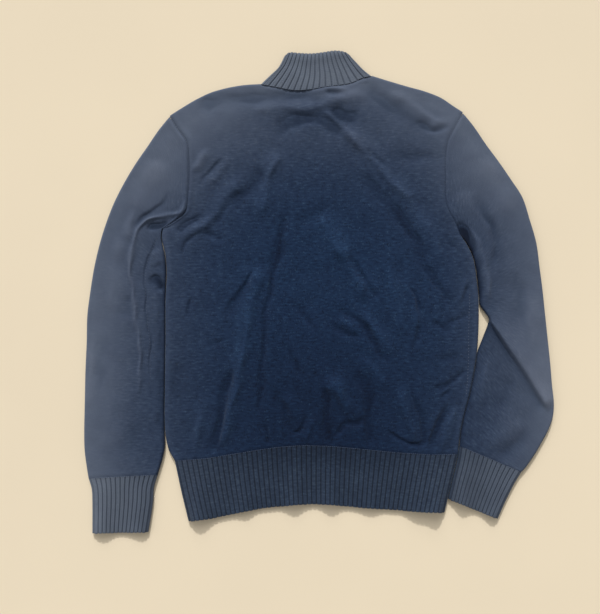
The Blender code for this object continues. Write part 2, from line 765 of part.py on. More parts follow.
def band(name, bottom, thick, width):
    """Button band: a straight strip of doubled rib from the collar's top edge to its lower end."""
    top_y = front_neck(PLACKET_X) + COLLAR_HEIGHT
    length = top_y - PLACKET_BOTTOM
    bpy.ops.mesh.primitive_cube_add(size=1.0, location=(0.0, 0.0, 0.0))
    thing = bpy.context.active_object
    thing.scale = (width, length, thick)
    thing.location = (PLACKET_X, PLACKET_BOTTOM + length / 2, bottom + thick / 2)
    bpy.ops.object.transform_apply(location=False, rotation=False, scale=True)
    bevel = thing.modifiers.new("rounded", "BEVEL")
    bevel.width = thick * 0.3
    bevel.segments = 1
    thing.name = name
    thing.data.name = name
    return thing


def button(name, y):
    """Round button, face down; its thread holes are on the finished surface."""
    radius = BUTTON_DIAMETER / 2
    bpy.ops.mesh.primitive_cylinder_add(vertices=24, radius=radius, depth=BUTTON_THICK,
                                        location=(PLACKET_X, y, BUTTON_THICK / 2))
    thing = bpy.context.active_object
    thing.name = name
    thing.data.name = name
    bevel = thing.modifiers.new("rounded", "BEVEL")
    bevel.width = BUTTON_THICK * 0.22
    bevel.segments = 1
    bevel.limit_method = "ANGLE"
    return thing


def clear_scene():
    for thing in list(bpy.data.objects):
        bpy.data.objects.remove(thing, do_unlink=True)


def main():
    clear_scene()
    collection = bpy.data.collections.new(COLLECTION)
    bpy.context.scene.collection.children.link(collection)
    knit = new_material("navy_knit", (0.035, 0.055, 0.095), 0.92)
    rib = new_material("navy_rib", (0.050, 0.066, 0.100), 0.92)
    horn = new_material("dark_button", (0.020, 0.022, 0.028), 0.35)

    add_object("back_panel", body_panel("back_panel", False), knit, collection)
    add_object("front_panel", body_panel("front_panel", True), knit, collection)
    sleeves = (("sleeve_left", -1, LEFT_SLEEVE_ROWS, LEFT_SLEEVE_FOLDS),
               ("sleeve_right", 1, RIGHT_SLEEVE_ROWS, RIGHT_SLEEVE_FOLDS))
    for name, side, rows, folds in sleeves:
        add_object(name, sleeve(name, side, rows, folds), knit, collection)
    cuffs = (("cuff_left", LEFT_CUFF_ROWS, LEFT_CUFF_WAVES),
             ("cuff_right", RIGHT_CUFF_ROWS, RIGHT_CUFF_WAVES))
    for name, rows, waves in cuffs:
        add_object(name, ribbed_tube(name, rows, CUFF_RIBS, 4, None, waves), rib, collection)
    hem_lines = (HEM_SEAM, HEM_EDGE)
    hem = ribbed_tube("hem_rib", HEM_ROWS, HEM_RIBS, HEM_FRONT_CELLS, hem_lines, HEM_WAVES)
    add_object("hem_rib", hem, rib, collection)
    add_object("collar", collar_wall("collar"), rib, collection)

    bands = (("buttonhole_band", BAND_BOTTOM, BAND_THICK, PLACKET_WIDTH),
             ("button_band", UNDER_BAND_BOTTOM, BAND_THICK, PLACKET_WIDTH - 0.002))
    placed = [(band(*row), rib) for row in bands]
    placed += [(button(f"button_{k + 1}", y), horn) for k, y in enumerate(BUTTON_Y)]
    for thing, material in placed:
        thing.data.materials.append(material)
        for holder in list(thing.users_collection):
            holder.objects.unlink(thing)
        collection.objects.link(thing)


if __name__ == "__main__":
    main()
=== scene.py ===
"""Button-neck sweater, laid face down on a pale table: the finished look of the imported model.

Every knitted piece is a thin wall on its solid's form, with its folds, ribs and seams, and a
procedural knit on its own UV map in metres. Metres, +Z up, +Y towards the collar.
"""
import math

import bmesh
import bpy
import numpy as np
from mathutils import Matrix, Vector


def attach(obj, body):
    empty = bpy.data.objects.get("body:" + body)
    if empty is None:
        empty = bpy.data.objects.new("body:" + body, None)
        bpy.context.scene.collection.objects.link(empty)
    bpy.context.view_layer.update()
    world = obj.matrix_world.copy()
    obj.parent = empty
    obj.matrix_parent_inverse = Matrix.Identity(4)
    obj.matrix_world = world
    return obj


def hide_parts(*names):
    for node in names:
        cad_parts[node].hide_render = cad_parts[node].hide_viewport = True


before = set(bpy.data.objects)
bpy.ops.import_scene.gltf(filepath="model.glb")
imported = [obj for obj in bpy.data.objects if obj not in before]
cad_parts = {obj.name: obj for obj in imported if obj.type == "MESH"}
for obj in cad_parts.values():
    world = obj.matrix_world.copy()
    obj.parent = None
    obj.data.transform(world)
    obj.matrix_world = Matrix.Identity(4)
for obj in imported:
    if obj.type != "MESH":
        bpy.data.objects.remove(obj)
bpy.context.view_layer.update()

bl_info = {
    "name": "Button-neck sweater",
    "version": (1, 0, 0),
    "blender": (4, 5, 0),
    "location": "View3D > Sidebar > Sweater",
    "description": "Knitted sweater with ribbed collar, cuffs and hem, laid face down",
    "category": "Object",
}

MM = 0.001

# Cloth sizes
WALL = 0.0026
SEAM = 0.00026             # space left between two sewn pieces
CORNER_EASE = 0.0008       # more space where a sleeve's folded edge meets the body
LAYER_GAP = 0.0028         # air between the front and the back
MIN_GAP = 0.0004
SIDE_HEIGHT = 0.0082       # height of a folded side over both layers
EDGE_PLUMP = 0.0010        # extra lift of the upper layer beside a fold
PLUMP_REACH = 0.018
MIDDLE = SIDE_HEIGHT / 2
FOLD_RADIUS = MIDDLE - WALL / 2
FLAT = math.pi / 2         # turn at which cloth that comes round a fold lies flat
FRONT_NECK_DROP = 0.056
COLLAR_HEIGHT = 0.055
RIB_PRESS = 0.0016         # how far the free edges lie lower than the knit cloth
WAVE_EASE = 0.012          # distance from a folded side over which an edge's waves rise
WAVE_DRAW = 0.9            # how far lifted cloth draws in, for each metre from the middle and of lift
FOLD_EASE = 0.006          # distance from a folded side over which the soft folds rise
SEAM_DIP = (0.0013, 0.0018)             # how far stitches pull the cloth down, and half its width
SEAM_PLUMP = (0.0009, 0.0052, 0.0034)   # height, place and half width of the plump cloth beside them
ARMHOLE_ROLL = (1.0, 0.45)              # share of these at the left and the right armhole
HEM_ROLL = 0.3
NECK_ROLL = 0.55
RIB_HEIGHT = 0.0016
RIB_EDGE_LOSS = 0.0007     # how much thinner a rib gets at its free edge
COLLAR_RIB_HEIGHT = 0.0014
COLLAR_EDGE_LOSS = 0.0009
COLLAR_ROLL = 0.0016       # how far the collar's edge rolls up
COLLAR_WAVE = 0.0006

# Button bands and buttons
PLACKET_X = -0.004
PLACKET_WIDTH = 0.030
PLACKET_BOTTOM = 0.150
BAND_BOTTOM = 0.0020
BAND_THICK = 0.0019
BAND_LIFT = 0.0017         # lift of the front where it meets the bands
BAND_LIFT_REACH = 0.024
BACK_LIFT = 0.0030         # lift of the back over the bands
BACK_LIFT_REACH = 0.040
BAND_RIB_DEPTH = 0.00035
BAND_EDGE = 0.94           # share of its half width where a band's rounded edge begins
BUTTON_DIAMETER = 0.015
BUTTON_THICK = 0.0017
BUTTON_Y = (0.312, 0.264, 0.216, 0.168)
HOLE_STEP = 0.0017         # from a button's middle to its holes, across and along
HOLE_PLACES = [(dx, dy) for dx in (-HOLE_STEP, HOLE_STEP) for dy in (-HOLE_STEP, HOLE_STEP)]

# Knit: a wale is a column of stitches and a course is a row
WALE = 0.0026
COURSE = 0.0019
RIB_PITCH = 3 * WALE
HEM_RIBS = 56
CUFF_RIBS = 13
COLLAR_RIBS = 17
BAND_RIBS = 9

# Stitches that show: pitch, step to the side and painted sheen of each row
STITCH_LENGTH = 0.0026
STITCH_RADIUS = 0.00050
ARMHOLE_STITCHES = (0.0042, 0.0008, -0.10)
NECK_STITCHES = (0.0036, 0.0012, 0.35)
SIDE_STITCHES = (0.0048, 0.0, 0.9)
UNDERARM_STITCHES = (0.0046, 0.0, 0.45)
HEM_STITCHES = (0.0031, 0.0012, 0.65)
CUFF_STITCHES = (0.0031, 0.0012, 0.8)
BUTTONHOLE_WIDE = 0.0016
BUTTONHOLE_LONG = 0.0088
BUTTONHOLE_STITCHES = 30
BUTTONHOLE_STITCH = (0.0013, 0.00034, 0.1)   # length, radius and painted sheen
STITCH_PROFILE = ((-1.0, 0.0), (-0.78, 0.66), (-0.30, 1.0), (0.30, 1.0), (0.78, 0.66), (1.0, 0.0))
HOLE_RADIUS = 0.00085
RIM_WIDTH = 0.0014
RIM_SLOPE = 0.0005
FACE_DEPTH = 0.0004        # how deep a button's face lies under its rim
BUTTON_ROUNDING = 0.00035
THREAD_RADIUS = 0.00024
THREAD_APART = 0.00044
THREAD_HEIGHT = 0.00052

# Camera and light
CAMERA_PLACE = (-0.0304, -0.0228)
CLOTH_TOP = 0.006          # height of the cloth that the view's width is measured at
SENSOR = 36.0              # mm
SUNS = (                   # name, where the light comes from, its angle in degrees and its strength
    ("window_light", (-0.09, 0.84, 0.545), 2.4, 1.95),
    ("window_glow", (-0.10, 0.81, 0.57), 40.0, 1.25),
    ("side_glow", (-0.80, 0.22, 0.55), 42.0, 0.42),
)
SUN_COLOUR = (1.0, 0.985, 0.965)
ROOM_COLOUR = (1.0, 0.98, 0.95, 1.0)
ROOM_STRENGTH = 0.352

# Painted light on the yarn: sheen, highlights and shade painted into its colour
HEM_SHEEN = 0.25             # how much more painted sheen a rib has than the knit cloth beside it
CUFF_SHEEN = 0.56
COLLAR_SHEEN = 0.50
BODY_FOLD_LIGHT = 0.075          # painted highlight on crests and painted shade in troughs, for each millimetre of a fold's height
SLEEVE_FOLD_LIGHT = 0.10         # the same on the sleeves
SIDE_HIGHLIGHT = 0.20            # painted highlight along the body's folded sides
TUCK_SHADE = 0.62              # painted shade: how much of its tone cloth loses where it is tucked in beside the body
TUCK_WIDTH = 0.0034

# Cells of the meshes
BACK_CELLS = (286, 134, 164)    # across, down the armholes and down the sides
BACK_INSIDE_STEP = 4            # cells of the back's outside to one of its inside
FRONT_CELLS = (40, 44, 56)      # as the back, but across each side of the bands
SLEEVE_CELLS = (120, 10)        # across the upper and the lower side
SLEEVE_LENGTHWISE = 300
FOLD_CELLS = 4                  # round a quarter turn
RIB_FOLD_CELLS = 3
POINTS_PER_RIB = 10
HEM_LOWER_CELLS = 60
CUFF_LOWER_CELLS = 16
RIB_LENGTHWISE = 40
COLLAR_LENGTHWISE = 26
COLLAR_FRONT_CELLS = 16
BAND_CELLS = (66, 90)

# All tables are in mm. Body levels from the shoulder points to the hem seam: x left, y left,
# x right, y right
BODY_ROWS = (
    (-239, 282, 230, 288),
    (-226, 262, 219, 268),
    (-211, 240, 206, 243),
    (-208, 212, 202, 212),
    (-208, 180, 202, 180),
    (-210, 152, 203, 148),
    (-214, 130, 209, 129),
    (-229, 116, 218, 113),
    (-249, 104, 225, 94),
    (-252, 88, 238, 75),
    (-246, 59, 248, 51),
    (-244, 28, 253, 17),
    (-246, -12, 256, -20),
    (-246, -76, 254, -84),
    (-247, -148, 244, -149),
    (-247, -212, 230, -205),
    (-242, -247, 225, -236),
    (-231, -269, 223, -258),
)
UNDERARM_ROW = 8
UNDERARM = UNDERARM_ROW / (len(BODY_ROWS) - 1)

# Seam lines that run across: x, y
LEFT_SHOULDER = ((-239, 282), (-222, 293), (-197, 308), (-174, 319), (-150, 326), (-122, 331), (-94, 333))
BACK_NECK = ((-94, 333), (-67, 328), (-38, 323), (-13, 324), (8, 328), (30, 331), (51, 335), (67, 342),
             (85, 346))
RIGHT_SHOULDER = ((85, 346), (114, 337), (141, 329), (170, 321), (195, 311), (213, 299), (230, 288))
HEM_SEAM = ((-231, -269), (-206, -267), (-181, -265), (-138, -258), (-101, -252), (-67, -247), (-24, -244),
            (27, -246), (67, -250), (130, -256), (181, -259), (223, -258))
HEM_EDGE = ((-209, -366), (-178, -362), (-138, -354), (-91, -345), (-54, -341), (-11, -338), (37, -341),
            (83, -345), (130, -348), (174, -352), (201, -352))

# Sleeve sections from the armhole to the cuff: x outer, y outer, x inner, y inner, share of the
# armhole's curve that the section keeps
LEFT_SLEEVE_ROWS = (
    (-239, 282, -249, 104, 1),
    (-257, 260, -253.7, 99, 0.58),
    (-274, 235, -253.0, 94, 0.32),
    (-294, 206, -252.6, 86, 0.15),
    (-313, 174, -250.0, 74, 0.05),
    (-329, 142, -247.0, 62, 0),
    (-342, 108, -245.6, 48, 0),
    (-352, 75, -244.9, 34, 0),
    (-360, 40, -245.1, 18, 0),
    (-366, 3, -246.2, -5, 0),
    (-371, -37, -246.4, -39, 0),
    (-372, -79, -246.3, -79, 0),
    (-374, -125, -246.9, -125, 0),
    (-375, -172, -247.65, -172, 0),
    (-376, -220, -247.35, -218, 0),
    (-375, -255, -247.3, -252, 0),
    (-369, -297, -258, -291, 0),
)
RIGHT_SLEEVE_ROWS = (
    (230, 288, 225, 94, 1),
    (248, 266, 230.4, 88, 0.58),
    (267, 238, 235, 82, 0.32),
    (287, 211, 239.3, 75, 0.15),
    (307, 182, 243.7, 66, 0.05),
    (326, 152, 247.6, 56, 0),
    (338, 115, 250.7, 43, 0),
    (348, 80, 252.7, 29, 0),
    (353, 43, 254.4, 14, 0),
    (358, 4, 256.3, -3, 0),
    (362, -34, 257.6, -19, 0),
    (366, -72, 266, -32, 0),
    (370, -111, 271, -39, 0),
    (373, -148, 272, -45, 0),
    (376, -178, 269, -55, 0),
    (374, -200, 262, -73, 0),
    (367, -220, 253.6, -95, 0),
    (358, -237, 250.7, -115, 0),
    (349, -253, 246.5, -138, 0),
    (340, -267, 240.75, -165, 0),
    (333, -277, 233.3, -193, 0),
    (329, -282, 227.65, -219, 0),
    (324, -287, 224.7, -245, 0),
)
LEFT_CUFF_ROWS = ((-369, -297, -258, -291), (-364, -314, -264, -312), (-363, -338, -266, -338),
                  (-363, -385, -273, -383))
RIGHT_CUFF_ROWS = ((324, -287, 224.7, -245), (312, -307, 221.1, -268), (298, -335, 214.0, -298),
                   (286, -362, 206.6, -330))
HEM_ROWS = ((-231, -269, 223, -258), (-221, -316, 212, -305), (-209, -366, 201, -352))
COLLAR_ROWS = ((-94, 333, 85, 346), (-77, 349, 72, 356), (-65, 360, 59, 369), (-56, 376, 50, 378))
COLLAR_TOP = ((-56, 376), (-48, 383), (-32, 382), (-14, 381), (6, 383), (27, 386), (42, 384), (50, 378))

# Soft folds: half width, height, then x, y of each point that the crest or trough runs through
BODY_FOLDS = (
    # under the collar and along the shoulders
    (10.0, -3.0, -200, 296, -152, 306, -113, 309, -71, 310, -40, 314, 0, 320),
    (4.0, -2.4, 8, 322, 25, 319, 42, 318),
    (3.5, 1.7, 4, 327, 22, 328, 50, 322),
    (8.0, 3.0, -110, 294, -61, 298, -30, 294, -4, 298, 14, 305, 32, 309, 56, 313, 86, 312),
    (8.5, -4.6, -74, 243, -61, 256, -46, 269, -28, 275, -12, 276, 2, 273, 15, 265, 30, 257, 42, 246),
    (9.5, -4.6, 10, 290, 28, 287, 44, 281, 58, 283, 68, 290),
    (5.2, 4.6, 4, 294, 11, 286, 22, 275, 35, 264, 48, 254, 59, 242, 74, 226),
    (9.0, 3.2, 40, 260, 72, 228, 100, 196, 129, 162, 152, 138),
    (4.0, -2.0, 74, 233, 95, 212, 114, 198),
    (11.0, -3.4, 66, 332, 93, 312, 111, 301, 127, 291, 148, 280, 166, 271, 188, 259),
    (4.2, -2.4, 154, 275, 172, 265, 184, 259, 196, 260, 212, 265),
    (10.0, 2.8, 104, 322, 137, 304, 153, 293, 169, 283, 182, 275, 198, 271, 216, 274),
    (9.0, -1.9, 104, 224, 137, 217, 179, 215, 204, 206),
    # round the left armhole
    (4.8, -2.4, -147, 220, -160, 209, -173, 197, -184, 183, -192, 170),
    (6.5, 2.2, -138, 222, -153, 204, -166, 186, -182, 166),
    (5.0, 2.9, -170, 232, -188, 212, -203, 188),
    (9.0, -3.0, -84, 206, -100, 181, -113, 165, -129, 152, -148, 136),
    (5.0, -2.0, -136, 146, -155, 123, -174, 100),
    (9.0, 2.6, -120, 192, -140, 165, -155, 144, -166, 123, -184, 104, -210, 86),
    (4.8, -4.4, -228, 93, -222, 99, -210, 110, -198, 117, -186, 126),
    (7.0, 2.4, -218, 86, -204, 98, -190, 107, -170, 122),
    (3.0, -2.0, -221, 52, -218, 70, -208, 83, -194, 92, -176, 95),
    (4.5, -2.4, -184, 95, -165, 87, -148, 84),
    # the long pair of ridge and trough down the left half
    (8.5, 3.6, -60, 232, -70, 207, -81, 183, -87, 162, -88, 139, -94, 114),
    (7.0, -2.3, -50, 136, -61, 97, -68, 60, -76, 16),
    (3.4, -4.1, -54, 122, -63, 84, -68, 58, -73, 32, -80, 0, -85, -24, -88, -60, -90, -96, -93, -136, -95,
     -168, -96, -202),
    (11.5, 4.6, -92, 50, -102, 13, -108, -17, -114, -54, -118, -84, -125, -120, -132, -152, -140, -186,
     -149, -222, -152, -250),
    (3.2, 1.5, -110, -24, -115, -54, -119, -86, -127, -126, -137, -172, -147, -210, -149, -238),
    (4.8, -3.7, -98, 48, -112, 24, -124, 2, -137, -18, -150, -42),
    (5.6, -6.7, -138, -122, -146, -152, -152, -184, -158, -210, -164, -238, -166, -262),
    (6.5, 2.9, -180, -160, -188, -194, -194, -228, -199, -262),
    (3.2, -2.0, -198, -2, -208, -18, -213, -44),
    (2.8, -1.8, -180, -83, -163, -79, -148, -71),
    (9.0, -1.7, -222, -104, -226, -150, -222, -204),
    # small folds at the middle
    (3.2, -2.4, -44, -14, -30, -30, -17, -46, -3, -70),
    (3.2, -2.7, -64, -66, -55, -84, -44, -104, -32, -126, -22, -146),
    (3.5, -2.7, -80, -148, -64, -175, -53, -196, -46, -216, -36, -225, -26, -217, -20, -192),
    (5.0, 2.3, -60, -164, -45, -182, -38, -208),
    (4.0, 2.2, -4, -198, -15, -220, -21, -246),
    (3.5, -2.4, -86, -206, -84, -222, -80, -244),
    (11.0, 4.2, -4, 128, 20, 94, 42, 54, 60, 22, 84, -12),
    (5.0, -3.4, 46, 64, 60, 40, 71, 22, 84, 2, 98, -12),
    (24.0, 1.6, -10, 130, 10, 90, 30, 40),
    # the sharp crease and its branch
    (3.0, -4.6, 28, -22, 46, -36, 63, -45, 74, -60, 85, -80, 97, -98, 110, -114),
    (3.0, -2.7, 12, -46, 30, -57, 52, -68, 74, -68),
    (3.8, 2.4, 28, -38, 48, -52, 66, -62),
    (7.5, 4.2, 58, -20, 72, -34, 84, -56, 101, -79, 122, -104),
    (7.5, 3.2, 58, -104, 80, -114, 98, -134, 110, -160),
    # the puffs over the hem
    (6.0, -4.9, 50, -126, 66, -142, 80, -162, 80, -190, 79, -214, 83, -250),
    (10.0, 5.8, 10, -130, 30, -156, 44, -182, 52, -204),
    (5.0, -5.2, 8, -146, 15, -172, 13, -200, 17, -222, 27, -250),
    (3.6, -3.7, 22, -232, 34, -218, 44, -209, 62, -208, 76, -196),
    (6.0, 3.8, 124, -142, 131, -170, 140, -196, 150, -222, 154, -246),
    (3.4, -3.7, 100, -219, 120, -227, 134, -237, 150, -243, 165, -240, 169, -226, 164, -204, 156, -184, 144,
     -158),
    (5.0, -4.6, 208, -176, 197, -196, 188, -220, 178, -256),
    (5.0, 2.9, 222, -176, 211, -200, 202, -225, 194, -256),
    (4.0, 2.2, 193, -182, 184, -208, 172, -244),
    # the right side
    (4.2, -3.9, 240, -122, 226, -130, 213, -141, 200, -150, 178, -152),
    (3.2, -2.4, 216, -154, 204, -162, 190, -169),
    (5.0, -2.2, 188, -106, 208, -102, 230, -98),
    (4.0, -2.9, 176, -47, 190, -53, 200, -57, 212, -66),
    (3.0, -2.7, 200, -52, 214, -47, 228, -39, 242, -28),
    (2.9, -2.7, 142, 18, 150, 2, 158, -16, 163, -36),
    (2.9, -2.2, 160, -44, 161, -66, 152, -82, 146, -100),
    (5.0, 2.6, 134, 24, 148, -6, 154, -36, 154, -72),
    (8.0, -3.2, 66, 192, 92, 165, 118, 136, 142, 105, 160, 76, 170, 40),
    (4.2, -3.2, 108, 150, 126, 126, 139, 108, 150, 94, 160, 82, 170, 62),
    (4.8, -3.4, 152, 60, 166, 42, 180, 26, 194, 8, 204, -10, 214, -30),
    (9.0, 2.9, 116, 184, 148, 140, 172, 108, 188, 76, 200, 40),
    (4.2, 2.2, 236, 30, 231, 4, 222, -26),
    (4.0, -1.8, 203, 96, 209, 80, 214, 64),
    (2.8, -1.6, 240, 12, 235, -6, 229, -20),
    (10.0, 2.6, 104, 60, 116, 20, 126, -30, 136, -70),
)
LEFT_SLEEVE_FOLDS = (
    (2.9, 3.2, -212, 158, -214, 142, -220, 130, -231, 125, -243, 123, -258, 120, -274, 114, -286, 106, -294,
     91, -298, 70, -301, 42, -300, 18, -296, -7, -293, -31, -289, -62, -287, -89, -284, -112, -286, -132,
     -290, -164),
    (5.0, -2.2, -236, 164, -252, 140, -270, 128, -286, 114, -298, 94),
    (7.0, 1.8, -292, 136, -301, 108, -309, 78),
    (4.0, -4.6, -276, 100, -266, 104, -256, 105, -248, 108, -238, 116),
    (9.0, 2.8, -266, 72, -259, 56, -255, 42),
    (6.5, -6.0, -266, 30, -257, 20, -250, 10, -246, 0),
    (7.0, 1.2, -264, 6, -262, -20, -261, -50),
    (1.8, -1.6, -257, 92, -267, 70, -275, 48, -279, 30, -279, 6, -277, -25, -274, -49, -270, -74, -271,
     -110, -269, -142),
    (3.6, -2.4, -252, 6, -251, -50, -252, -120, -252, -230),
    (24.0, 1.0, -318, -96, -328, -170, -326, -262),
    (16.0, 1.5, -244, 222, -278, 170, -298, 122),
    (9.0, -0.8, -340, -60, -346, -110, -350, -170),
    (8.0, 1.4, -358, -60, -364, -120, -366, -190),
    (12.0, 1.4, -316, 96, -326, 30, -330, -50),
    (10.0, -1.2, -304, 0, -304, -24, -306, -44),
    (16.0, -1.2, -284, -200, -300, -240, -310, -276),
)
RIGHT_SLEEVE_FOLDS = (
    (6.0, -9.5, 216, 110, 226, 103, 237, 90, 244, 70, 248, 50),
    (4.2, -6.0, 240, 80, 248, 56, 253, 30, 256, 2, 258, -14, 260, -30),
    (5.6, 3.6, 226, 112, 240, 102, 250, 86, 260, 62, 266, 35, 270, 8, 275, -22),
    (14.0, 1.2, 226, 164, 236, 140, 244, 116),
    (6.4, -2.8, 246, 158, 258, 137, 270, 115, 279, 93, 283, 71, 282, 36),
    (16.0, 1.4, 262, 224, 292, 170, 314, 116),
    (9.0, -1.4, 312, 40, 320, -10, 326, -60),
    (9.0, 1.6, 334, 10, 340, -40, 346, -90),
    (15.0, 2.0, 326, -196, 300, -222, 268, -250),
    (10.0, -1.5, 340, -210, 310, -246, 276, -262),
    (8.0, 2.0, 272, -100, 262, -138, 250, -190),
    (10.0, -1.6, 312, -130, 302, -156, 286, -196),
)

# Lines of small stitches that show: x, y
LEFT_UNDERARM_SEAM = ((-257, 92), (-262, 80), (-268, 68), (-274, 52), (-277, 36), (-278, 12), (-276, -19),
                      (-274, -50), (-270, -80), (-270, -112), (-269, -140))
RIGHT_SIDE_MARKS = ((241, 2), (240, -23), (239, -60), (239, -100), (237, -140), (235, -165))

# Overlapping folds: rise of the upper lip, its reach, drop of the lower cloth, its reach, width
# of the edge's slope where it begins and ends, and then x, y along the lip's edge; the upper lip
# is on the left hand of the way they run
RIGHT_SLEEVE_LIPS = (
    (6.6, 26, 5.2, 9, 0.5, 2.0, 262, -28, 273, -46, 287, -68, 301, -90, 316, -112, 331, -134, 344, -156,
     354, -172, 365, -192),
)

# Waves of the hem's and cuffs' edges over the table: x, half width, lift
HEM_WAVES = ((-194, 19, 10.0), (-120, 13, 5.4), (-40, 14, 8.0), (19, 14, 8.6), (83, 15, 4.4),
             (160, 18, 9.0), (187, 15, 14.0))
LEFT_CUFF_WAVES = ((-347, 14, 6.0), (-288, 12, 5.0))
RIGHT_CUFF_WAVES = ((229, 12, 9.0), (276, 11, 5.0))


def smooth(value):
    """Even step from 0 to 1 that starts and ends softly."""
    value = np.clip(value, 0.0, 1.0)
    return value * value * (3 - 2 * value)


def mix(a, b, share):
    return a + (b - a) * share


def unit(v):
    return v / np.maximum(np.linalg.norm(v, axis=-1, keepdims=True), 1e-12)


def steps_along(points):
    """Way along a line of points to each of them."""
    return np.concatenate([[0.0], np.cumsum(np.linalg.norm(np.diff(points, axis=0), axis=1))])


def at_ways(ways, along, values):
    """Rows of values at ways along a line, for the values at its points."""
    return np.stack([np.interp(ways, along, column) for column in values.T], axis=-1)


def through(rows, place):
    """Rows in metres at places (0 to 1) on a smooth curve through evenly counted rows in mm."""
    table = np.array(rows, dtype=float) * MM
    span = np.clip(np.atleast_1d(place), 0.0, 1.0) * (len(table) - 1)
    index = np.minimum(span.astype(int), len(table) - 2)
    f = (span - index)[:, None]
    a = table[np.maximum(index - 1, 0)]
    b = table[index]
    c = table[index + 1]
    d = table[np.minimum(index + 2, len(table) - 1)]
    bend = (2 * a - 5 * b + 4 * c - d) * f ** 2 + (3 * b - a - 3 * c + d) * f ** 3
    return b + 0.5 * ((c - a) * f + bend)


def line_y(points, x):
    """Height y of a seam line at x, in metres."""
    xs, ys = np.array(points, dtype=float).T * MM
    slopes = np.gradient(ys, xs)
    slopes[1:-1] = (ys[2:] - ys[:-2]) / (xs[2:] - xs[:-2])
    index = np.clip(np.searchsorted(xs, x) - 1, 0, len(xs) - 2)
    width = xs[index + 1] - xs[index]
    f = np.clip((x - xs[index]) / width, 0.0, 1.0)
    level = mix(ys[index], ys[index + 1], f * f * (3 - 2 * f))
    bend = (f ** 3 - 2 * f ** 2 + f) * slopes[index] + (f ** 3 - f ** 2) * slopes[index + 1]
    return level + width * bend


def bow_of(line, share):
    """How far a seam line bows in y from the straight between its ends."""
    first, last = np.array((line[0], line[-1])) * MM
    return line_y(line, mix(first[0], last[0], share)) - mix(first[1], last[1], share)


def sections(table, place):
    """Starts, ends and lengths of a flattened tube's lines across, and the way from its seam to each."""
    spread = through(table, place)
    starts = spread[:, 0:2]
    ends = spread[:, 2:4]
    length = np.linalg.norm(ends - starts, axis=1)[:, None]
    return starts, ends, length, steps_along(mix(starts, ends, 0.5))[:, None]


def along_line(points, x, y):
    """Distance from a curved line, the signed side (left is positive), the way along and its length."""
    fine = through(points, np.linspace(0, 1, 6 * (len(points) - 1) + 1))
    steps = np.linalg.norm(np.diff(fine, axis=0), axis=1)
    starts = steps_along(fine)
    best = np.full(x.shape, np.inf)
    side = np.ones(x.shape)
    way = np.zeros(x.shape)
    for k in range(len(steps)):
        direction = (fine[k + 1] - fine[k]) / steps[k]
        dx = x - fine[k, 0]
        dy = y - fine[k, 1]
        t = np.clip(dx * direction[0] + dy * direction[1], 0.0, steps[k])
        distance = np.hypot(dx - t * direction[0], dy - t * direction[1])
        closer = distance < best
        best = np.where(closer, distance, best)
        side = np.where(closer, np.sign(direction[0] * dy - direction[1] * dx), side)
        way = np.where(closer, starts[k] + t, way)
    return best, side, way, starts[-1]


def wandering(x, y):
    """Places moved a millimetre or two, so that no fold's line or side runs quite evenly."""
    moved_x = x + 0.0014 * np.sin(78 * y + 31 * x + 1.1) + 0.0009 * np.sin(190 * x - 150 * y)
    moved_y = y + 0.0013 * np.sin(66 * x - 44 * y + 2.2) + 0.0008 * np.sin(210 * y + 120 * x + 0.5)
    return moved_x, moved_y


def fold_rise(folds, x, y):
    """Sum of the soft folds at places on the upper layer; each swells, thins and leans to a side."""
    x, y = wandering(x, y)
    total = np.zeros(x.shape)
    for number, (half_width, height, *points) in enumerate(folds):
        distance, side, way, length = along_line(np.reshape(points, (-1, 2)), x, y)
        fade = smooth(np.minimum(way, length - way) / min(0.30 * length, 0.028))
        swell = 1 + 0.22 * np.sin(way * 88 + number * 2.4)
        width = half_width * MM * (1.15 + 0.22 * np.sin(way * 57 + number * 1.7))
        width = width * (1 + 0.30 * side * math.sin(number * 2.1))
        total += height * MM * fade * swell * np.exp(-(distance / width) ** 2)
    return total


def lip_rise(lips, x, y):
    """Height of the overlapping folds: a raised lip on one side and lower cloth on the other."""
    total = np.zeros(x.shape)
    for rise, reach, drop, drop_reach, begins, ends, *points in lips:
        distance, side, way, length = along_line(np.reshape(points, (-1, 2)), x, y)
        signed = distance * side
        fade = smooth(way / 0.010) * smooth((length - way) / 0.020)
        above = rise * smooth((way + 0.012) / 0.070) * np.exp(-np.maximum(signed, 0.0) / (reach * MM))
        below = -drop * np.exp(np.minimum(signed, 0.0) / (drop_reach * MM))
        width = mix(begins, ends, smooth(1.6 * way / length)) * MM
        step = 1 / (1 + np.exp(-np.clip(signed / width, -40, 40)))
        total += MM * fade * mix(below, above, step)
    return total


def painted_fold_light(relief, strength):
    """Share of its tone that the yarn keeps: a painted highlight on the folds' crests and painted shade in
    their troughs.
    """
    return np.clip(1 + strength * relief / MM, 0.20, 1.45)


def painted_tuck_shade(distance):
    """Share of its tone that cloth keeps: painted shade along the edge where it is tucked in against the
    piece beside it.
    """
    return 1 - TUCK_SHADE * np.exp(-(np.maximum(distance, 0.0) / TUCK_WIDTH) ** 2)


def unevenness(x, y, size=0.0003):
    """Small slow undulation of laid cloth, from crossed waves of unlike lengths."""
    waves = ((61, 23, 0.3), (-37, 71, 1.9), (112, -48, 4.1), (29, 131, 2.6), (-141, -87, 5.2),
             (190, 60, 0.8))
    total = np.zeros(x.shape)
    for number, (a, b, phase) in enumerate(waves):
        total += np.sin(a * x + b * y + phase + 1.7 * np.sin(0.6 * b * x - 0.5 * a * y)) / (1 + 0.35 * number)
    return total * size


def lift_at_bands(x, y, lift, reach):
    """Lift of the cloth at the button bands, which fades away from them."""
    beside = np.maximum(np.abs(x - PLACKET_X) - PLACKET_WIDTH / 2, 0.0)
    below = np.maximum(PLACKET_BOTTOM - y, 0.0)
    return lift * (1 - smooth(np.hypot(beside, below) / reach))


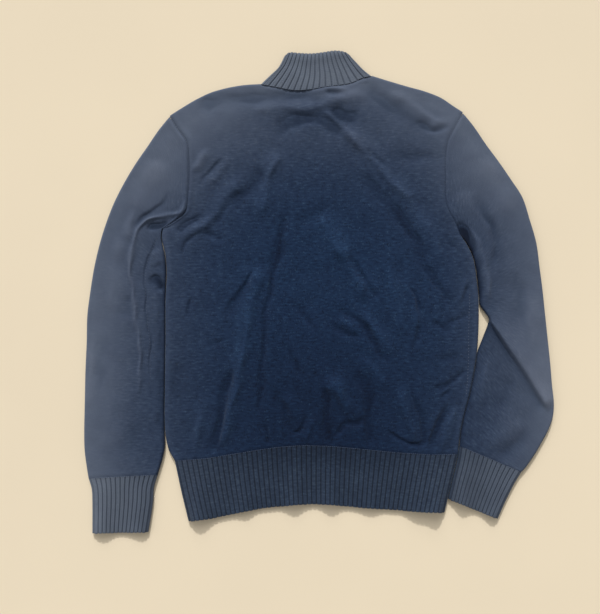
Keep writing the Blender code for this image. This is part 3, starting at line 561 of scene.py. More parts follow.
def upper_layer(x, y, fold_distance, relief=0.0):
    """Height of the middle of the upper cloth, whose folds have this relief."""
    inside = 1 - np.exp(-np.maximum(fold_distance, 0.0) / FOLD_EASE)
    plump = EDGE_PLUMP * np.exp(-np.maximum(fold_distance, 0.0) / PLUMP_REACH)
    relief = (relief + unevenness(x, y)) * inside
    gap = np.maximum(LAYER_GAP + plump + relief, MIN_GAP)
    return WALL * 1.5 + gap + lift_at_bands(x, y, BACK_LIFT, BACK_LIFT_REACH)


def rib_profile(phase):
    """Height (0 to 1) across one rib: a narrow valley and a broad crown of two stitches."""
    from_valley = np.abs((phase + 0.5) % 1.0 - 0.5)
    crown = smooth(from_valley / 0.20)
    return crown * (1 - 0.13 * np.exp(-((from_valley - 0.5) / 0.07) ** 2))


def rows_to_edge(count, *more):
    """Even places from 0 to 1, with more of them close to the free edge."""
    return np.unique(np.round([*np.linspace(0, 1, count), *more], 6))


def edge_rounding(place, begin, least=0.0):
    """Share of its half thickness that a wall keeps where its edge is rounded, from begin to 1."""
    return np.sqrt(np.clip(1 - np.clip((place - begin) / (1 - begin), 0, 1) ** 2, least, 1))


# -------- meshes

def new_object(name, mesh):
    thing = bpy.data.objects.new(name, mesh)
    bpy.context.scene.collection.objects.link(thing)
    return thing


def in_garment(thing, node=None):
    """Puts a piece on the part's one body, and in its node's place if it has one."""
    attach(thing, "root")
    if node:
        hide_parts(node)


def deselect():
    bpy.ops.object.select_all(action="DESELECT")


def set_values(mesh, name, values):
    """Number for each point of a mesh, for its material to read."""
    mesh.attributes.new(name, "FLOAT", "POINT").data.foreach_set("value", values.astype(np.float32))


def knit_map(across, up):
    """UV in metres: across the wales, and up the piece along them."""
    return np.stack(np.broadcast_arrays(across, up), axis=-1)


def grid_cells(rows, columns, closed, kept=None):
    """Corners of a grid's cells as (row, column) pairs; the last column of a ring is the first."""
    cells = columns if closed else columns - 1
    i, j = np.nonzero(np.ones((rows - 1, cells), dtype=bool) if kept is None else kept)
    return np.stack([i, j, i, j + 1, i + 1, j + 1, i + 1, j], axis=1).reshape(-1, 4, 2)


def rim_edges(spots, columns):
    """Edges of a grid's cells that only one cell has, each in its cell's direction."""
    edges = {}
    for spot in spots.tolist():
        for k in range(4):
            a, b = spot[k], spot[(k + 1) % 4]
            start = (a[0], a[1] % columns)
            end = (b[0], b[1] % columns)
            if edges.pop((end, start), None) is None:
                edges[(start, end)] = (a, b)
    return list(edges.values())


def coarse_rim(rows, columns, step):
    """Runs of rim places from one kept inner place to the next, round an open grid."""
    downs = sorted({*range(0, rows, step), rows - 1})
    acrosses = sorted({*range(0, columns, step), columns - 1})
    runs = []
    for a, b in zip(acrosses, acrosses[1:]):
        runs.append([(0, c) for c in range(a, b + 1)])
        runs.append([(rows - 1, c) for c in range(b, a - 1, -1)])
    for a, b in zip(downs, downs[1:]):
        runs.append([(r, columns - 1) for r in range(a, b + 1)])
        runs.append([(r, 0) for r in range(b, a - 1, -1)])
    return downs, acrosses, runs


def on_both_sides(values, grid):
    """Values of a wall's columns or points as one row, for the points of its outside and inside."""
    return np.tile(np.broadcast_to(values, grid.shape[:2]).ravel(), 2)


def wall_mesh(name, outer, inner, uv, closed, rib=None, kept=None, step=1, tone=1.0, sheen=0.0):
    """Wall between two grids of points (rows, columns, 3), with a UV of one column more than a ring.

    An open wall may have a coarser inside, of every step-th row and column. The height across the
    ribs, the painted light and shade and the painted sheen are kept as values of the points, for the
    materials.
    """
    rows, columns = outer.shape[:2]
    cells = grid_cells(rows, columns, closed, kept)
    faces = [[(spot, 0) for spot in cell] for cell in cells.tolist()]
    if step == 1:
        faces += [[(spot, 1) for spot in reversed(cell)] for cell in cells.tolist()]
        faces += [[(b, 0), (a, 0), (a, 1), (b, 1)] for a, b in rim_edges(cells, columns)]
    else:
        downs, acrosses, runs = coarse_rim(rows, columns, step)
        for a, b in zip(downs, downs[1:]):
            for c, d in zip(acrosses, acrosses[1:]):
                faces.append([((b, c), 1), ((b, d), 1), ((a, d), 1), ((a, c), 1)])
        faces += [[(spot, 0) for spot in reversed(run)] + [(run[0], 1), (run[-1], 1)] for run in runs]
    corners = [[(under * rows + row) * columns + column % columns for (row, column), under in face]
               for face in faces]
    if faces_down(outer, corners[:len(cells)]):
        faces = [face[::-1] for face in faces]
        corners = [face[::-1] for face in corners]
    points = np.concatenate([outer.reshape(-1, 3), inner.reshape(-1, 3)])
    mesh = bpy.data.meshes.new(name)
    mesh.from_pydata(points.tolist(), [], corners)
    spots = np.array([spot for face in faces for spot, _ in face])
    flat = uv[spots[:, 0], spots[:, 1]].astype(np.float32)
    mesh.uv_layers.new(name="knit").data.foreach_set("uv", flat.ravel())
    if rib is not None:
        set_values(mesh, "rib", on_both_sides(rib, outer))
    # painted sheen: a pale veil painted over the yarn by place, plus each piece's own share
    set_values(mesh, "painted_sheen", painted_sheen_by_place(points[:, 0], points[:, 1]) + sheen)
    # painted light and shade multiplied into the yarn's colour: painted shade low on the back, and the tone
    # given for folds, sides and tucked edges
    set_values(mesh, "depth", painted_shade_low_on_back(points[:, 0], points[:, 1]) * on_both_sides(tone, outer))
    bm = bmesh.new()
    bm.from_mesh(mesh)
    bmesh.ops.delete(bm, geom=[v for v in bm.verts if not v.link_faces], context="VERTS")
    bm.to_mesh(mesh)
    bm.free()
    mesh.shade_smooth()
    mesh.set_sharp_from_angle(angle=math.radians(62))
    return new_object(name, mesh)


def painted_sheen_by_place(x, y):
    """Strength of the painted sheen, a pale veil painted over the yarn: most on sleeves, shoulders and
    collar, least mid back.
    """
    beside = np.abs(x)
    across = np.abs(x - 0.004) / 0.336
    up = np.maximum(y - 0.02, 0.0) / 0.285
    pale = 1.08 * (across ** 2 + up ** 2) ** 1.85
    pale += 0.30 * np.exp(-((beside - 0.245) / 0.05) ** 2 - ((y - 0.19) / 0.07) ** 2)
    pale -= np.where(x < 0, 0.20, 0.12) * np.exp(-((y + 0.20) / 0.10) ** 2) * smooth((beside - 0.22) / 0.08)
    pale -= 0.14 * np.exp(-((x - 0.17) / 0.08) ** 2 - ((y - 0.27) / 0.07) ** 2)
    pale -= 0.07 * np.exp(-((x - 0.20) / 0.05) ** 2 - ((y + 0.02) / 0.16) ** 2)
    pale -= 0.48 * np.exp(-(x / 0.13) ** 2 - ((y - 0.298) / 0.035) ** 2)
    return np.clip(pale, 0.0, 1.43)


def painted_shade_low_on_back(x, y):
    """Share of its tone that the yarn keeps: painted shade, darkest low in the middle of the back."""
    return 1 - 0.42 * np.exp(-(x / 0.19) ** 2) * smooth((0.03 - y) / 0.24) * smooth((y + 0.30) / 0.05)


def faces_down(outer, corners):
    """Whether the outside's faces run the wrong way round, judged by its highest cell."""
    points = outer.reshape(-1, 3)
    corners = np.array(corners)
    top = corners[np.argmax(points[corners].mean(axis=1)[:, 2])]
    a, b, c = points[top[:3]]
    return np.cross(b - a, c - b)[2] < 0


def fold_stations(cells):
    """Turns round a quarter of a fold, and how far in from its edge each of them lies."""
    turns = np.linspace(0, FLAT, cells + 1)
    return turns, FOLD_RADIUS * (1 - np.cos(turns))


# -------- body

def body_row(level):
    """Ends of the body's rows in metres at levels from the shoulder points (0) to the hem seam (1)."""
    level = np.atleast_1d(level)
    upper = through(BODY_ROWS[:UNDERARM_ROW + 1], level / UNDERARM)
    lower = through(BODY_ROWS[UNDERARM_ROW:], (level - UNDERARM) / (1 - UNDERARM))
    return np.where((level < UNDERARM)[:, None], upper, lower)


def neck_curve(x):
    """Height y of the front neck seam."""
    left, right = np.array((BACK_NECK[0], BACK_NECK[-1])) * MM
    share = np.clip((x - left[0]) / (right[0] - left[0]), 0.0, 1.0)
    return mix(left[1], right[1], share) - FRONT_NECK_DROP * (1 - np.abs(2 * share - 1) ** 2.6)


def top_line(x, front):
    """Height y of a panel's top: shoulder, neck and shoulder."""
    neck = neck_curve(x) if front else line_y(BACK_NECK, x)
    neck = np.where(x < LEFT_SHOULDER[-1][0] * MM, line_y(LEFT_SHOULDER, x), neck)
    return np.where(x > RIGHT_SHOULDER[0][0] * MM, line_y(RIGHT_SHOULDER, x), neck)


def side_fold(level):
    """Share of the side that is folded at a level: none on the armholes, and all below them."""
    return smooth((level - UNDERARM) / 0.034)


def top_fold(x):
    """Share of the top that is folded: all on the shoulders and none at the neck."""
    left = LEFT_SHOULDER[-1][0] * MM
    right = RIGHT_SHOULDER[0][0] * MM
    return 1.0 - smooth((x - left) / 0.012) * smooth((right - x) / 0.012)


def front_height(x, y):
    """Height of the middle of the front, which lies on the table and lifts at the bands."""
    return WALL / 2 + lift_at_bands(x, y, BAND_LIFT, BAND_LIFT_REACH)


def turns_of(insets, folded):
    """Angle round a fold for insets (nan on the flat) where only a share of it is folded."""
    full = np.arccos(np.clip(1 - np.nan_to_num(insets, nan=FOLD_RADIUS) / FOLD_RADIUS, 0.0, 1.0))
    return mix(FLAT, full, folded)


def band_shares(left, right):
    """Where the button bands' two edges lie on lines from left to right."""
    edges = PLACKET_X + np.array([-1, 1]) * (PLACKET_WIDTH / 2 + SEAM)
    return np.split((edges - left) / (right - left), 2, axis=1)


def body_grid(front, columns, armhole_rows, side_rows):
    """Plan places, turns and ways out of a body panel, with the distance to its sides and the level."""
    _, insets = fold_stations(FOLD_CELLS)
    first = np.hypot(*(np.array(BODY_ROWS[1][:2]) - np.array(BODY_ROWS[0][:2]))) * MM
    folded_levels = insets / first / (len(BODY_ROWS) - 1)
    levels = np.concatenate([
        folded_levels,
        np.linspace(folded_levels[-1], UNDERARM, armhole_rows + 1)[1:],
        np.linspace(UNDERARM, 1.0, side_rows + 1)[1:],
    ])
    rows = body_row(levels)
    level = levels[:, None]
    width = np.hypot(rows[:, 2:3] - rows[:, 0:1], rows[:, 3:4] - rows[:, 1:2])
    fold = side_fold(level)
    ends = (mix(SEAM / 2, WALL / 2, fold) + insets) / width
    k = np.linspace(0, 1, columns + 1)
    a = ends[:, -1:]
    if front:
        low, high = band_shares(rows[:, 0:1], rows[:, 2:3])
        middle = np.concatenate([mix(a, low, k)[:, 1:], mix(high, 1 - a, k)[:, :-1]], axis=1)
    else:
        middle = mix(a, 1 - a, k)[:, 1:-1]
    share = np.concatenate([ends, middle, 1 - ends[:, ::-1]], axis=1)
    x = mix(rows[:, 0:1], rows[:, 2:3], share)
    y = mix(rows[:, 1:2], rows[:, 3:4], share)
    top = np.array(BODY_ROWS[0]) * MM
    top_bow = top_line(mix(top[0], top[2], share), front) - mix(top[1], top[3], share)
    y += top_bow * (1 - level) ** (3.0 if front else 2.0) + bow_of(HEM_SEAM, share) * level ** 3
    top_folded = top_fold(x)
    y[0] -= mix(SEAM * 0.8, WALL / 2, top_folded[0])
    y[-1] += SEAM / 2
    side_insets = np.concatenate([insets, np.full(middle.shape[1], np.nan), insets[::-1]])
    top_insets = np.full((len(levels), 1), np.nan)
    top_insets[:len(insets), 0] = insets
    side_turn = turns_of(side_insets, fold)
    top_turn = turns_of(top_insets, top_folded)
    outward = np.stack([np.where(share < 0.5, -1.0, 1.0) * np.cos(side_turn), np.cos(top_turn)], axis=-1)
    from_side = mix(PLUMP_REACH * 3, np.minimum(share, 1 - share) * width, fold)
    return x, y, np.minimum(side_turn, top_turn), unit(outward), from_side, level


def offset_wall(x, y, height, turn, outward, up, proud=0.0):
    """Outer and inner points of a wall whose flat part has this height of its middle."""
    turn, up, _ = np.broadcast_arrays(turn, up, x)
    z = MIDDLE + (height - MIDDLE) * np.sin(turn) + up * SEAM / 2 * np.cos(turn)
    middle = np.stack([x, y, z], axis=-1)
    direction = np.concatenate([outward * np.cos(turn)[..., None], (up * np.sin(turn))[..., None]], axis=-1)
    outer = middle + direction * WALL / 2
    outer[..., 2] += proud
    return outer, middle - direction * WALL / 2


def seam_roll(distance, share=1.0):
    """Cloth beside a seam: pulled down at the stitches, and plump a little way off."""
    height, place, width = SEAM_PLUMP
    plump = height * np.exp(-((distance - place) / width) ** 2)
    depth, width = SEAM_DIP
    return share * (plump - depth * np.exp(-(distance / width) ** 2))


def make_back_panel():
    """Back panel with its soft folds, its seams pulled down, painted light and shade on its folds and a
    painted highlight along its folded sides.
    """
    x, y, turn, outward, from_side, level = body_grid(False, *BACK_CELLS)
    row = body_row(level[:, 0])
    arm_distance = np.minimum(x - row[:, :1], row[:, 2:3] - x)
    relief = fold_rise(BODY_FOLDS, x, y)
    height = upper_layer(x, y, from_side, relief)
    height += seam_roll(np.where(level < UNDERARM, arm_distance, 1.0), np.where(x < 0, *ARMHOLE_ROLL))
    height += seam_roll(np.maximum(line_y(BACK_NECK, x) - y, 0.0), NECK_ROLL) * (1 - top_fold(x))
    height += seam_roll(np.maximum(y - line_y(HEM_SEAM, x), 0.0), HEM_ROLL)
    outer, inner = offset_wall(x, y, height, turn, outward, 1.0)
    # painted highlight along the folded sides below the armholes, and painted light and shade on the folds
    rim = smooth((level - UNDERARM) / 0.05) * np.exp(-((arm_distance - 0.0058) / 0.0034) ** 2)
    return wall_mesh("back_panel_knit", outer, inner, np.stack([x, y], axis=-1), False,
                     step=BACK_INSIDE_STEP, tone=painted_fold_light(relief, BODY_FOLD_LIGHT) + SIDE_HIGHLIGHT * rim)


def make_front_panel():
    """Front panel, cut from the neck down for the button bands."""
    x, y, turn, outward, _, _ = body_grid(True, *FRONT_CELLS)
    outer, inner = offset_wall(x, y, front_height(x, y), turn, outward, -1.0)
    notch = FOLD_CELLS + FRONT_CELLS[0]
    bottom = PLACKET_BOTTOM - SEAM
    end = int(np.argmin(np.abs(y[:, notch] - bottom)))
    for grid in (outer, inner):
        grid[end, notch:notch + 2, 1] = bottom
    kept = np.ones((x.shape[0] - 1, x.shape[1] - 1), dtype=bool)
    kept[:end, notch] = False
    return wall_mesh("front_panel_knit", outer, inner, np.stack([x + 1.0, y], axis=-1), False, kept=kept)


# -------- tubes

def tube_columns(upper_cells, lower_cells, fold_cells):
    """Columns round a flattened tube: place across (0 or 1 at a fold), inset, turn and side."""
    turns, insets = fold_stations(fold_cells)
    fold = list(zip(insets, turns))
    rows = [(0.0, *station, 1.0) for station in fold]
    rows += [(k / upper_cells, FOLD_RADIUS, FLAT, 1.0) for k in range(1, upper_cells)]
    rows += [(1.0, *station, 1.0) for station in fold[::-1]]
    rows += [(1.0, *station, -1.0) for station in fold[1:]]
    rows += [(1 - k / lower_cells, FOLD_RADIUS, FLAT, -1.0) for k in range(1, lower_cells)]
    rows += [(0.0, *station, -1.0) for station in fold[:0:-1]]
    return np.array(rows).T


def armhole_points(side):
    """Points down the left (-1) or the right (1) armhole."""
    rows = body_row(np.linspace(0, UNDERARM - 1e-9, 120))
    return rows[:, :2] if side < 0 else rows[:, 2:]


def make_sleeve(name, side, table, folds, lips=()):
    """Sleeve from its armhole to its cuff seam, in the pose in which it lies."""
    k, inset, turn, up = tube_columns(*SLEEVE_CELLS, FOLD_CELLS)
    t = np.linspace(0, 1, SLEEVE_LENGTHWISE)
    starts, ends, chord, down = sections(table, t)
    bow = np.clip(through(table, t)[:, 4:] / MM, 0.0, 1.0)
    seam = armhole_points(side)
    ways = steps_along(seam)
    length = mix(chord, ways[-1], bow ** 2)
    share = k + (1 - 2 * k) * (WALL / 2 + inset) / length
    bowed = at_ways(share * ways[-1], ways, seam) - mix(seam[0], seam[-1], share[..., None])
    place = mix(starts[:, None], ends[:, None], share[..., None]) + bowed * bow[..., None]
    tangent = unit(np.gradient(seam, axis=0))
    away = np.stack([-side * tangent[:, 1], side * tangent[:, 0]], axis=-1)
    away = unit(at_ways(share[0] * ways[-1], ways, away))
    ease = CORNER_EASE * (1 - smooth(np.minimum(share[0], 1 - share[0]) / 0.06))
    place[0] += away * (SEAM / 2 + ease)[:, None]
    first = int(np.argmax(turn >= FLAT - 1e-6))
    last = int(np.nonzero((k == 1.0) & (up > 0))[0][0])
    out_start = unit(place[:, first] - place[:, first + 3])
    out_end = unit(place[:, last] - place[:, last - 3])
    outward = np.where((k < 0.5)[:, None], out_start[:, None], out_end[:, None])
    x, y = place[..., 0], place[..., 1]
    relief = fold_rise(folds, x, y) + lip_rise(lips, x, y)
    upper = upper_layer(x, y, np.minimum(share, 1 - share) * length, relief)
    upper += seam_roll(np.linalg.norm(place - place[0], axis=-1), ARMHOLE_ROLL[0 if side < 0 else 1])
    upper += seam_roll(down[-1] - down, HEM_ROLL)
    outer, inner = offset_wall(x, y, np.where(up > 0, upper, WALL / 2), turn, outward, up)
    across = np.where(up > 0, share - 0.5, 1.5 - share) * length
    across = np.append(across, across[:, -1:] + 0.002, axis=1)
    # painted light and shade on the upper side's folds, and painted shade along the edge tucked in beside the
    # body
    tone = np.where(up > 0, painted_fold_light(relief, SLEEVE_FOLD_LIGHT), 1.0) * painted_tuck_shade((1 - share) * length)
    return wall_mesh(name, outer, inner, knit_map(across, -down), True, tone=tone)


def make_rib_tube(name, table, ribs, lower_cells, waves, sheen, lines=(), tucked=False):
    """Rib tube from its seam to its free edge, whose upper side lifts in waves at the edge."""
    k, inset, turn, up = tube_columns(ribs * POINTS_PER_RIB, lower_cells, RIB_FOLD_CELLS)
    t = rows_to_edge(RIB_LENGTHWISE, 0.990, 0.996)
    starts, ends, length, down = sections(table, t)
    t = t[:, None]
    share = k + (1 - 2 * k) * (WALL / 2 + inset) / length
    place = mix(starts[:, None], ends[:, None], share[..., None])
    for line, weight in zip(lines, (1 - t, t)):
        place[..., 1] += bow_of(line, share) * weight
    along = unit((starts[-1] + ends[-1]) - (starts[0] + ends[0]))
    place[0] += along * SEAM / 2
    profile = np.where(up > 0, rib_profile(k * ribs), 0.6)
    place += along * (0.0008 * (profile - 0.6) * np.exp(-(1 - t) * 40))[..., None]
    x, y = place[..., 0], place[..., 1]
    from_fold = np.minimum(share, 1 - share) * length
    wave = np.zeros(x.shape)
    for at, half_width, lift in waves:
        wave += lift * MM * np.exp(-((x - at * MM) / (half_width * MM)) ** 2)
    wave = (wave * t ** 1.6 - RIB_PRESS * t) * smooth(from_fold / WAVE_EASE)
    upper = upper_layer(x, y, from_fold) + wave - 0.0002 * np.exp(-t * 9)
    place -= place * (np.maximum(wave, 0.0) * (up > 0))[..., None] * WAVE_DRAW
    flat = np.sin(turn) ** 6 * (up > 0)
    proud = (RIB_HEIGHT * (profile - 0.55) - RIB_EDGE_LOSS * (1 - edge_rounding(t, 0.97))) * flat
    outward = np.where(k < 0.5, 1.0, -1.0)[:, None] * unit(starts - ends)[:, None]
    outer, inner = offset_wall(x, y, np.where(up > 0, upper, WALL / 2), turn, outward, up, proud)
    across = np.where(up > 0, k, 2.0 - k) * ribs * RIB_PITCH + WALE / 2
    across = np.append(across, across[-1] + WALE)
    # painted shade along the edge tucked in beside the piece next to it
    tone = painted_tuck_shade((1 - share) * length) if tucked else 1.0
    return wall_mesh(name, outer, inner, knit_map(across, -down), True, rib=mix(1.0, profile, flat),
                     tone=tone, sheen=sheen)


def make_collar():
    """Stand collar: round the back from one front edge to the other, open at the button bands."""
    t = rows_to_edge(COLLAR_LENGTHWISE, 0.985, 0.994)
    starts, ends, length, way_up = sections(COLLAR_ROWS, t)
    t = t[:, None]
    cells = COLLAR_FRONT_CELLS
    tube = tube_columns(COLLAR_RIBS * POINTS_PER_RIB, 1, FOLD_CELLS)
    left = np.array([(i / cells, FOLD_RADIUS, FLAT, -1.0) for i in range(cells)]).T
    right = np.array([(1 + i / cells, FOLD_RADIUS, FLAT, -1.0) for i in range(1, cells + 1)]).T
    columns = [left, tube[:, -FOLD_CELLS:], tube[:, :-FOLD_CELLS], right]
    k, inset, turn, up = np.concatenate(columns, axis=1)
    margin = (WALL / 2 + inset) / length
    share = k + (1 - 2 * k) * margin
    bands = band_shares(starts[:, :1], ends[:, :1])
    share[:, :cells] = mix(bands[0], margin[:, :1], k[:cells])
    share[:, -cells:] = mix(1 - margin[:, :1], bands[1], k[-cells:] - 1)
    place = mix(starts[:, None], ends[:, None], share[..., None])
    back = bow_of(BACK_NECK, share) * (1 - t) + bow_of(COLLAR_TOP, share) * t
    corner = np.array((BACK_NECK[0], BACK_NECK[-1])) * MM
    x = mix(corner[0, 0], corner[1, 0], share)
    front = (neck_curve(x) - mix(corner[0, 1], corner[1, 1], share)) * mix(1.0, 0.86, t)
    place[..., 1] += np.where(up > 0, back, front)
    place[0, :, 1] += SEAM * 1.5
    phase = np.where((k > 0) & (k < 1), k * COLLAR_RIBS, 0.5)
    profile = np.where(up > 0, rib_profile(phase), 0.6)
    place[..., 1] += 0.0009 * (profile - 0.6) * np.exp(-(1 - t) * 30)
    x, y = place[..., 0], place[..., 1]
    inside = np.clip(share, 0, 1)
    from_fold = np.minimum(inside, 1 - inside) * length
    roll = COLLAR_ROLL * np.exp(-((t - 0.86) / 0.14) ** 2)
    upper = upper_layer(x, y, from_fold) + roll * smooth(from_fold / 0.02)
    upper += COLLAR_WAVE * np.sin(x * 90 + 1.0) * t
    flat = np.sin(turn) ** 6 * (up > 0)
    proud = (COLLAR_RIB_HEIGHT * (profile - 0.5) - COLLAR_EDGE_LOSS * (1 - edge_rounding(t, 0.95))) * flat
    sideways = np.where(share < 0.5, -1.0, 1.0)
    outward = np.stack([sideways, np.zeros_like(sideways)], axis=-1)
    height = np.where(up > 0, upper, front_height(x, y))
    outer, inner = offset_wall(x, y, height, turn, outward, up, proud)
    across = np.where(up > 0, np.clip(k, 0, 1), np.where(share < 0.5, -share, 2 - share))
    across = across * COLLAR_RIBS * RIB_PITCH + WALE / 2
    return wall_mesh("collar_rib", outer, inner, knit_map(across, way_up), False,
                     rib=mix(1.0, profile, flat), sheen=COLLAR_SHEEN)


def make_band(name, bottom, width):
    """Button band: a strip of doubled rib, with rounded edges and fine lengthwise ribs."""
    top_y = float(neck_curve(np.array(PLACKET_X))) + COLLAR_HEIGHT
    columns, rows = BAND_CELLS
    s, y = np.meshgrid(np.linspace(-1, 1, columns), np.linspace(PLACKET_BOTTOM, top_y, rows))
    x = PLACKET_X + s * width / 2
    ribs = 0.5 + 0.5 * np.cos(s * BAND_RIBS * math.pi)
    half = BAND_THICK / 2
    thick = half * edge_rounding(np.abs(s), BAND_EDGE, 0.1) - BAND_RIB_DEPTH * (1 - ribs)
    low = np.stack([x, y, bottom + half - thick], axis=-1)
    high = np.stack([x, y, bottom + half + thick], axis=-1)
    return wall_mesh(name, high, low, np.stack([x + 2.0, y], axis=-1), False, rib=ribs)


# -------- stitches and buttons

def bead_mesh(name, centres, directions, length, radius, sheen):
    """One mesh of many spindle-shaped stitches, each lying along its direction."""
    directions = unit(directions)
    beside = unit(np.cross(directions, (0.0, 0.0, 1.0)))
    above = np.cross(beside, directions)
    turns = np.arange(6) * math.pi / 3
    rings = []
    for along, wide in STITCH_PROFILE:
        centre = centres + directions * along * length / 2
        if wide == 0.0:
            rings.append(centre[:, None])
            continue
        spoke = beside[:, None] * np.cos(turns)[None, :, None] + above[:, None] * np.sin(turns)[None, :, None]
        rings.append(centre[:, None] + spoke * wide * radius)
    points = np.concatenate(rings, axis=1)
    one = [(0, 1 + (k + 1) % 6, 1 + k) for k in range(6)]
    for ring in range(3):
        a = 1 + 6 * ring
        one += [(a + k, a + (k + 1) % 6, a + 6 + (k + 1) % 6, a + 6 + k) for k in range(6)]
    one += [(25, 19 + k, 19 + (k + 1) % 6) for k in range(6)]
    faces = [[26 * bead + corner for corner in face] for bead in range(len(centres)) for face in one]
    points = points.reshape(-1, 3)
    mesh = bpy.data.meshes.new(name)
    mesh.from_pydata(points.tolist(), [], faces)
    # painted sheen, as on the cloth round the stitches, plus each row's own share
    set_values(mesh, "painted_sheen", np.clip(painted_sheen_by_place(points[:, 0], points[:, 1]) + sheen, 0.0, 1.8))
    mesh.shade_smooth()
    thing = new_object(name, mesh)
    materials()
    thing.data.materials.append(bpy.data.materials["seam_yarn"])
    return thing


def sew(name, cloth, rows):
    """Stitches on a piece of cloth along lines of points, each with its pitch, step and painted sheen."""
    bpy.context.view_layer.update()
    made = []
    for points, (pitch, step, sheen) in rows:
        ways = steps_along(points)
        at = np.arange(pitch, ways[-1] - pitch / 2, pitch)
        x, y = at_ways(at, ways, points).T
        direction = unit(np.stack([np.gradient(x), np.gradient(y), np.zeros(len(x))], axis=-1))
        centres = []
        kept = []
        for k in range(len(at)):
            place = Vector((x[k] + direction[k, 1] * step, y[k] - direction[k, 0] * step, 0.1))
            found, where, _, _ = cloth.ray_cast(place, Vector((0.0, 0.0, -1.0)))
            if found:
                centres.append((x[k], y[k], where.z + 0.0001))
                kept.append(k)
        if not kept:
            raise RuntimeError(f"{name}: no stitch lies on {cloth.name}")
        made.append((np.array(centres), direction[kept], sheen))
    parts = [bead_mesh(name, *stitches, STITCH_LENGTH, STITCH_RADIUS, sheen) for *stitches, sheen in made]
    if len(parts) > 1:
        deselect()
        for part in parts:
            part.select_set(True)
        bpy.context.view_layer.objects.active = parts[0]
        bpy.ops.object.join()
    parts[0].name = name
    in_garment(parts[0])
    return parts[0]


def make_button():
    """Round button, face down, with a rim round its face and four holes for its thread."""
    deselect()
    bpy.ops.mesh.primitive_cylinder_add(vertices=48, radius=BUTTON_DIAMETER / 2, depth=BUTTON_THICK,
                                        location=(PLACKET_X, BUTTON_Y[0], BUTTON_THICK / 2))
    button = bpy.context.active_object
    bpy.ops.object.transform_apply(location=True, rotation=True, scale=True)
    bpy.ops.object.mode_set(mode="EDIT")
    bpy.ops.mesh.select_all(action="DESELECT")
    bpy.ops.object.mode_set(mode="OBJECT")
    for face in button.data.polygons:
        face.select = face.normal.z < -0.9
    bpy.ops.object.mode_set(mode="EDIT")
    bpy.ops.mesh.inset(thickness=RIM_WIDTH, depth=0.0)
    bpy.ops.mesh.inset(thickness=RIM_SLOPE, depth=-FACE_DEPTH)
    bpy.ops.object.mode_set(mode="OBJECT")
    bevel = button.modifiers.new("rounding", "BEVEL")
    bevel.width = BUTTON_ROUNDING
    bevel.segments = 3
    bevel.limit_method = "ANGLE"
    bevel.angle_limit = math.radians(40)
    bpy.ops.object.modifier_apply(modifier=bevel.name)
    for dx, dy in HOLE_PLACES:
        deselect()
        bpy.ops.mesh.primitive_cylinder_add(
            vertices=16, radius=HOLE_RADIUS, depth=0.006,
            location=(PLACKET_X + dx, BUTTON_Y[0] + dy, BUTTON_THICK / 2))
        drill = bpy.context.active_object
        bpy.context.view_layer.objects.active = button
        hole = button.modifiers.new("hole", "BOOLEAN")
        hole.operation = "DIFFERENCE"
        hole.solver = "EXACT"
        hole.object = drill
        bpy.ops.object.modifier_apply(modifier=hole.name)
        bpy.data.objects.remove(drill, do_unlink=True)
    button.data.shade_smooth()
    button.data.set_sharp_from_angle(angle=math.radians(35))
    return button


def button_thread(name, y):
    """Two bars of doubled thread from hole to hole across a button's face."""
    centres = [(PLACKET_X, y + dy + side * THREAD_APART / 2, THREAD_HEIGHT)
               for dy in (HOLE_STEP, -HOLE_STEP) for side in (-1, 1)]
    directions = np.array([(1.0, 0.0, 0.0)] * len(centres))
    return bead_mesh(name, np.array(centres), directions, 2 * HOLE_STEP + 0.0012, THREAD_RADIUS, 0.0)


# -------- materials

